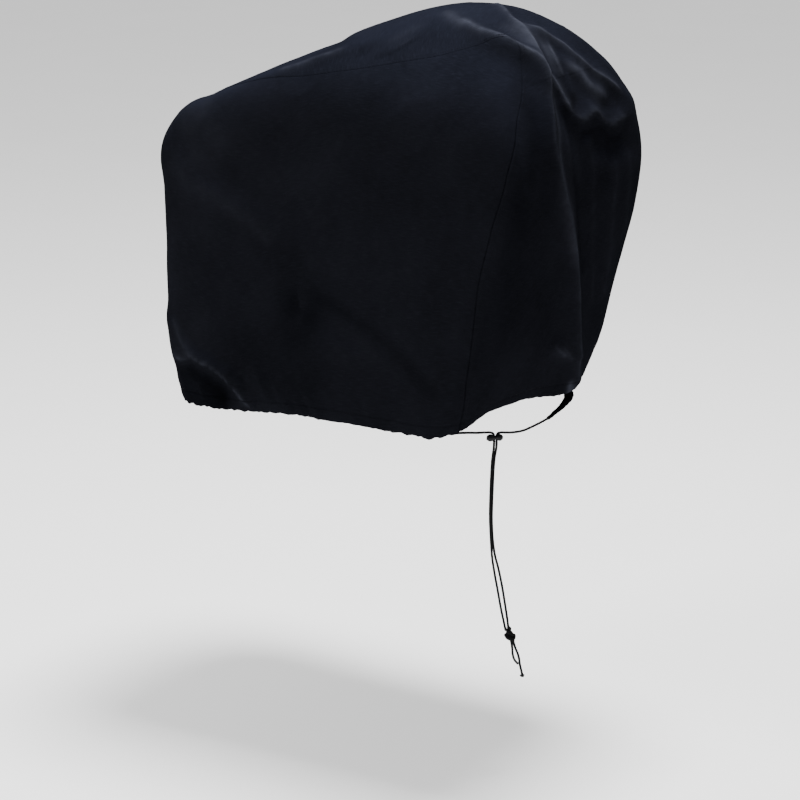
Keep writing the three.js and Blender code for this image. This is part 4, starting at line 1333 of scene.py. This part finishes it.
def weave_of(look, flat):
    """The height of crossing threads, on cloth laid out flat."""
    split = look.node("ShaderNodeSeparateXYZ", Vector=flat)
    waves = [look.math("SINE", look.math("MULTIPLY", split.outputs[k], math.pi / THREAD))
             for k in (0, 1)]
    threads = look.math("ADD", *(look.math("MULTIPLY", wave, wave) for wave in waves))
    return look.math("MULTIPLY_ADD", threads, THREAD_SHARE, look.math("MULTIPLY", *waves))


def cloth_look(name):
    dark, light, worn, painted_highlight, roughness = CLOTHS[name]
    look = Look(name)
    flat = look.node("ShaderNodeUVMap", {"uv_map": "cloth"}).outputs["UV"]
    stretched = look.node("ShaderNodeVectorMath", {"operation": "MULTIPLY"}, (flat, SLUBS))
    slubs = look.noise(1.0, 2.0, vector=stretched.outputs[0])
    clouds = look.noise(9.0, 4.0)
    colour = look.blend(look.ranged(clouds, 0.3, 0.7), dark, light)
    colour = look.blend(look.ranged(slubs, 0.45, 0.8, 0.0, 0.35), colour, worn)

    # painted sky light: the coat's colour turns lighter and bluer the more it faces up
    normal = look.node("ShaderNodeNewGeometry").outputs["Normal"]
    upward = look.node("ShaderNodeSeparateXYZ", Vector=normal).outputs["Z"]
    colour = look.blend(look.ranged(upward, *PAINTED_SKY_TINT["upward"]), colour, PAINTED_SKY_TINT["tint"], "MULTIPLY")

    # painted light from the mesh: above 0 it blends towards a painted highlight colour, broken up
    # by noise
    painted_light = look.node("ShaderNodeAttribute", {"attribute_name": "painted_light"}).outputs["Fac"]
    patchy = look.ranged(look.noise(45.0, 4.0), 0.3, 0.65, 0.45, 1.0)
    colour = look.blend(look.math("MULTIPLY", look.ranged(painted_light, 0.0, 1.0), patchy),
                        colour, painted_highlight)
    # below 0 it blends towards black, as painted shade
    colour = look.blend(look.ranged(painted_light, -1.0, 0.0, 0.75, 0.0), colour, (0, 0, 0))

    creased = look.bump(look.noise(55.0, 5.0, 0.55), 0.0011)
    return look.finish(
        Base_Color=colour, Sheen_Weight=0.002, Sheen_Roughness=0.42, Sheen_Tint=SHEEN,
        Roughness=look.ranged(clouds, 0.3, 0.7, roughness - 0.05, roughness + 0.05),
        Normal=look.bump(weave_of(look, flat), 0.00005, 0.6, Normal=creased),
        Specular_IOR_Level=0.0)


def cord_look():
    look = Look("cord")
    clouds = look.noise(120.0)
    return look.finish(Base_Color=look.blend(clouds, (0.0016, 0.0016, 0.0019),
                                             (0.0040, 0.0040, 0.0047)),
                       Roughness=look.ranged(clouds, 0.3, 0.7, 0.6, 0.75),
                       Normal=look.bump(look.noise(2600.0, 2.0), 0.0002),
                       Sheen_Weight=0.004, Specular_IOR_Level=0.06)


def lock_look():
    look = Look("moulded_lock")
    scuffs = look.noise(160.0, 5.0, 0.7)
    return look.finish(Base_Color=look.blend(look.ranged(scuffs, 0.45, 0.75),
                                             (0.0026, 0.0026, 0.003), (0.008, 0.008, 0.0095)),
                       Roughness=look.ranged(scuffs, 0.3, 0.7, 0.38, 0.55),
                       Normal=look.bump(look.noise(900.0), 0.00008), Specular_IOR_Level=0.16)


def thread_look():
    look = Look("thread")
    twist = look.noise(3000.0, 1.0)
    return look.finish(Base_Color=look.blend(twist, (0.0018, 0.0019, 0.0028),
                                             (0.0042, 0.0045, 0.0065)),
                       Roughness=0.6, Normal=look.bump(twist, 0.0001), Specular_IOR_Level=0.02)


def floor_look():
    look = Look("floor")
    return look.finish(Base_Color=look.blend(look.noise(2.0), (0.86, 0.86, 0.86),
                                             (0.9, 0.9, 0.9)), Roughness=0.9)


shell, lining, casing_cloth = (cloth_look(name) for name in CLOTHS)
cord_material = cord_look()


def give(obj, *materials):
    obj.data.materials.clear()
    for material in materials:
        obj.data.materials.append(material)


for piece in (port_side, starboard_side, strip, aft_cloth):
    give(piece, shell, lining)
give(sleeve, casing_cloth)
give(stitching, thread_look())
give(toggle, lock_look())
for piece in (port_cord, starboard_cord, short_end, long_end, wound_knot, end_knob):
    give(piece, cord_material)

FLOOR = {"height": -1.25, "half": 12.0}
floor = mesh_object("floor", [(x * FLOOR["half"], y * FLOOR["half"], FLOOR["height"])
                              for x, y in ((-1, -1), (1, -1), (1, 1), (-1, 1))], [(0, 1, 2, 3)])
give(floor, floor_look())
floor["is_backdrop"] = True

# A pale studio, brightest above and towards the bow, and dim aft.
STUDIO = {"bright": (-0.80, 0.10, 0.60), "from": -0.55, "to": 0.45, "dim": 0.26, "full": 1.15}
world = bpy.data.worlds.new("studio")
world.use_nodes = True
nodes, links = world.node_tree.nodes, world.node_tree.links
facing = nodes.new("ShaderNodeVectorMath")
facing.operation = "DOT_PRODUCT"
facing.inputs[1].default_value = STUDIO["bright"]
links.new(nodes.new("ShaderNodeTexCoord").outputs["Generated"], facing.inputs[0])
span = nodes.new("ShaderNodeMapRange")
span.interpolation_type = "SMOOTHSTEP"
for socket, value in zip(span.inputs[1:5], (STUDIO[k] for k in ("from", "to", "dim", "full"))):
    socket.default_value = value
links.new(facing.outputs["Value"], span.inputs[0])
links.new(span.outputs[0], nodes["Background"].inputs["Strength"])
nodes["Background"].inputs["Color"].default_value = (1, 1, 1, 1)
scene.world = world

LIGHTS = [  # name, place, size, power
    ("key", (-2.4, -2.6, 1.9), 1.3, 127),
    ("top", (0.2, 0.3, 3.0), 1.2, 370),
]
AIM = Vector((-0.1, 0, -0.35))
for name, place, size, power in LIGHTS:
    lamp = bpy.data.lights.new(name, "AREA")
    lamp.shape, lamp.size, lamp.energy = "DISK", size, power
    light = add_object(name, lamp)
    light.location = place
    light.rotation_euler = (AIM - Vector(place)).to_track_quat("-Z", "Y").to_euler()

size = {"cad": [list(corner) for corner in cad_box],
        "visual": [list(corner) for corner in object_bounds()]}
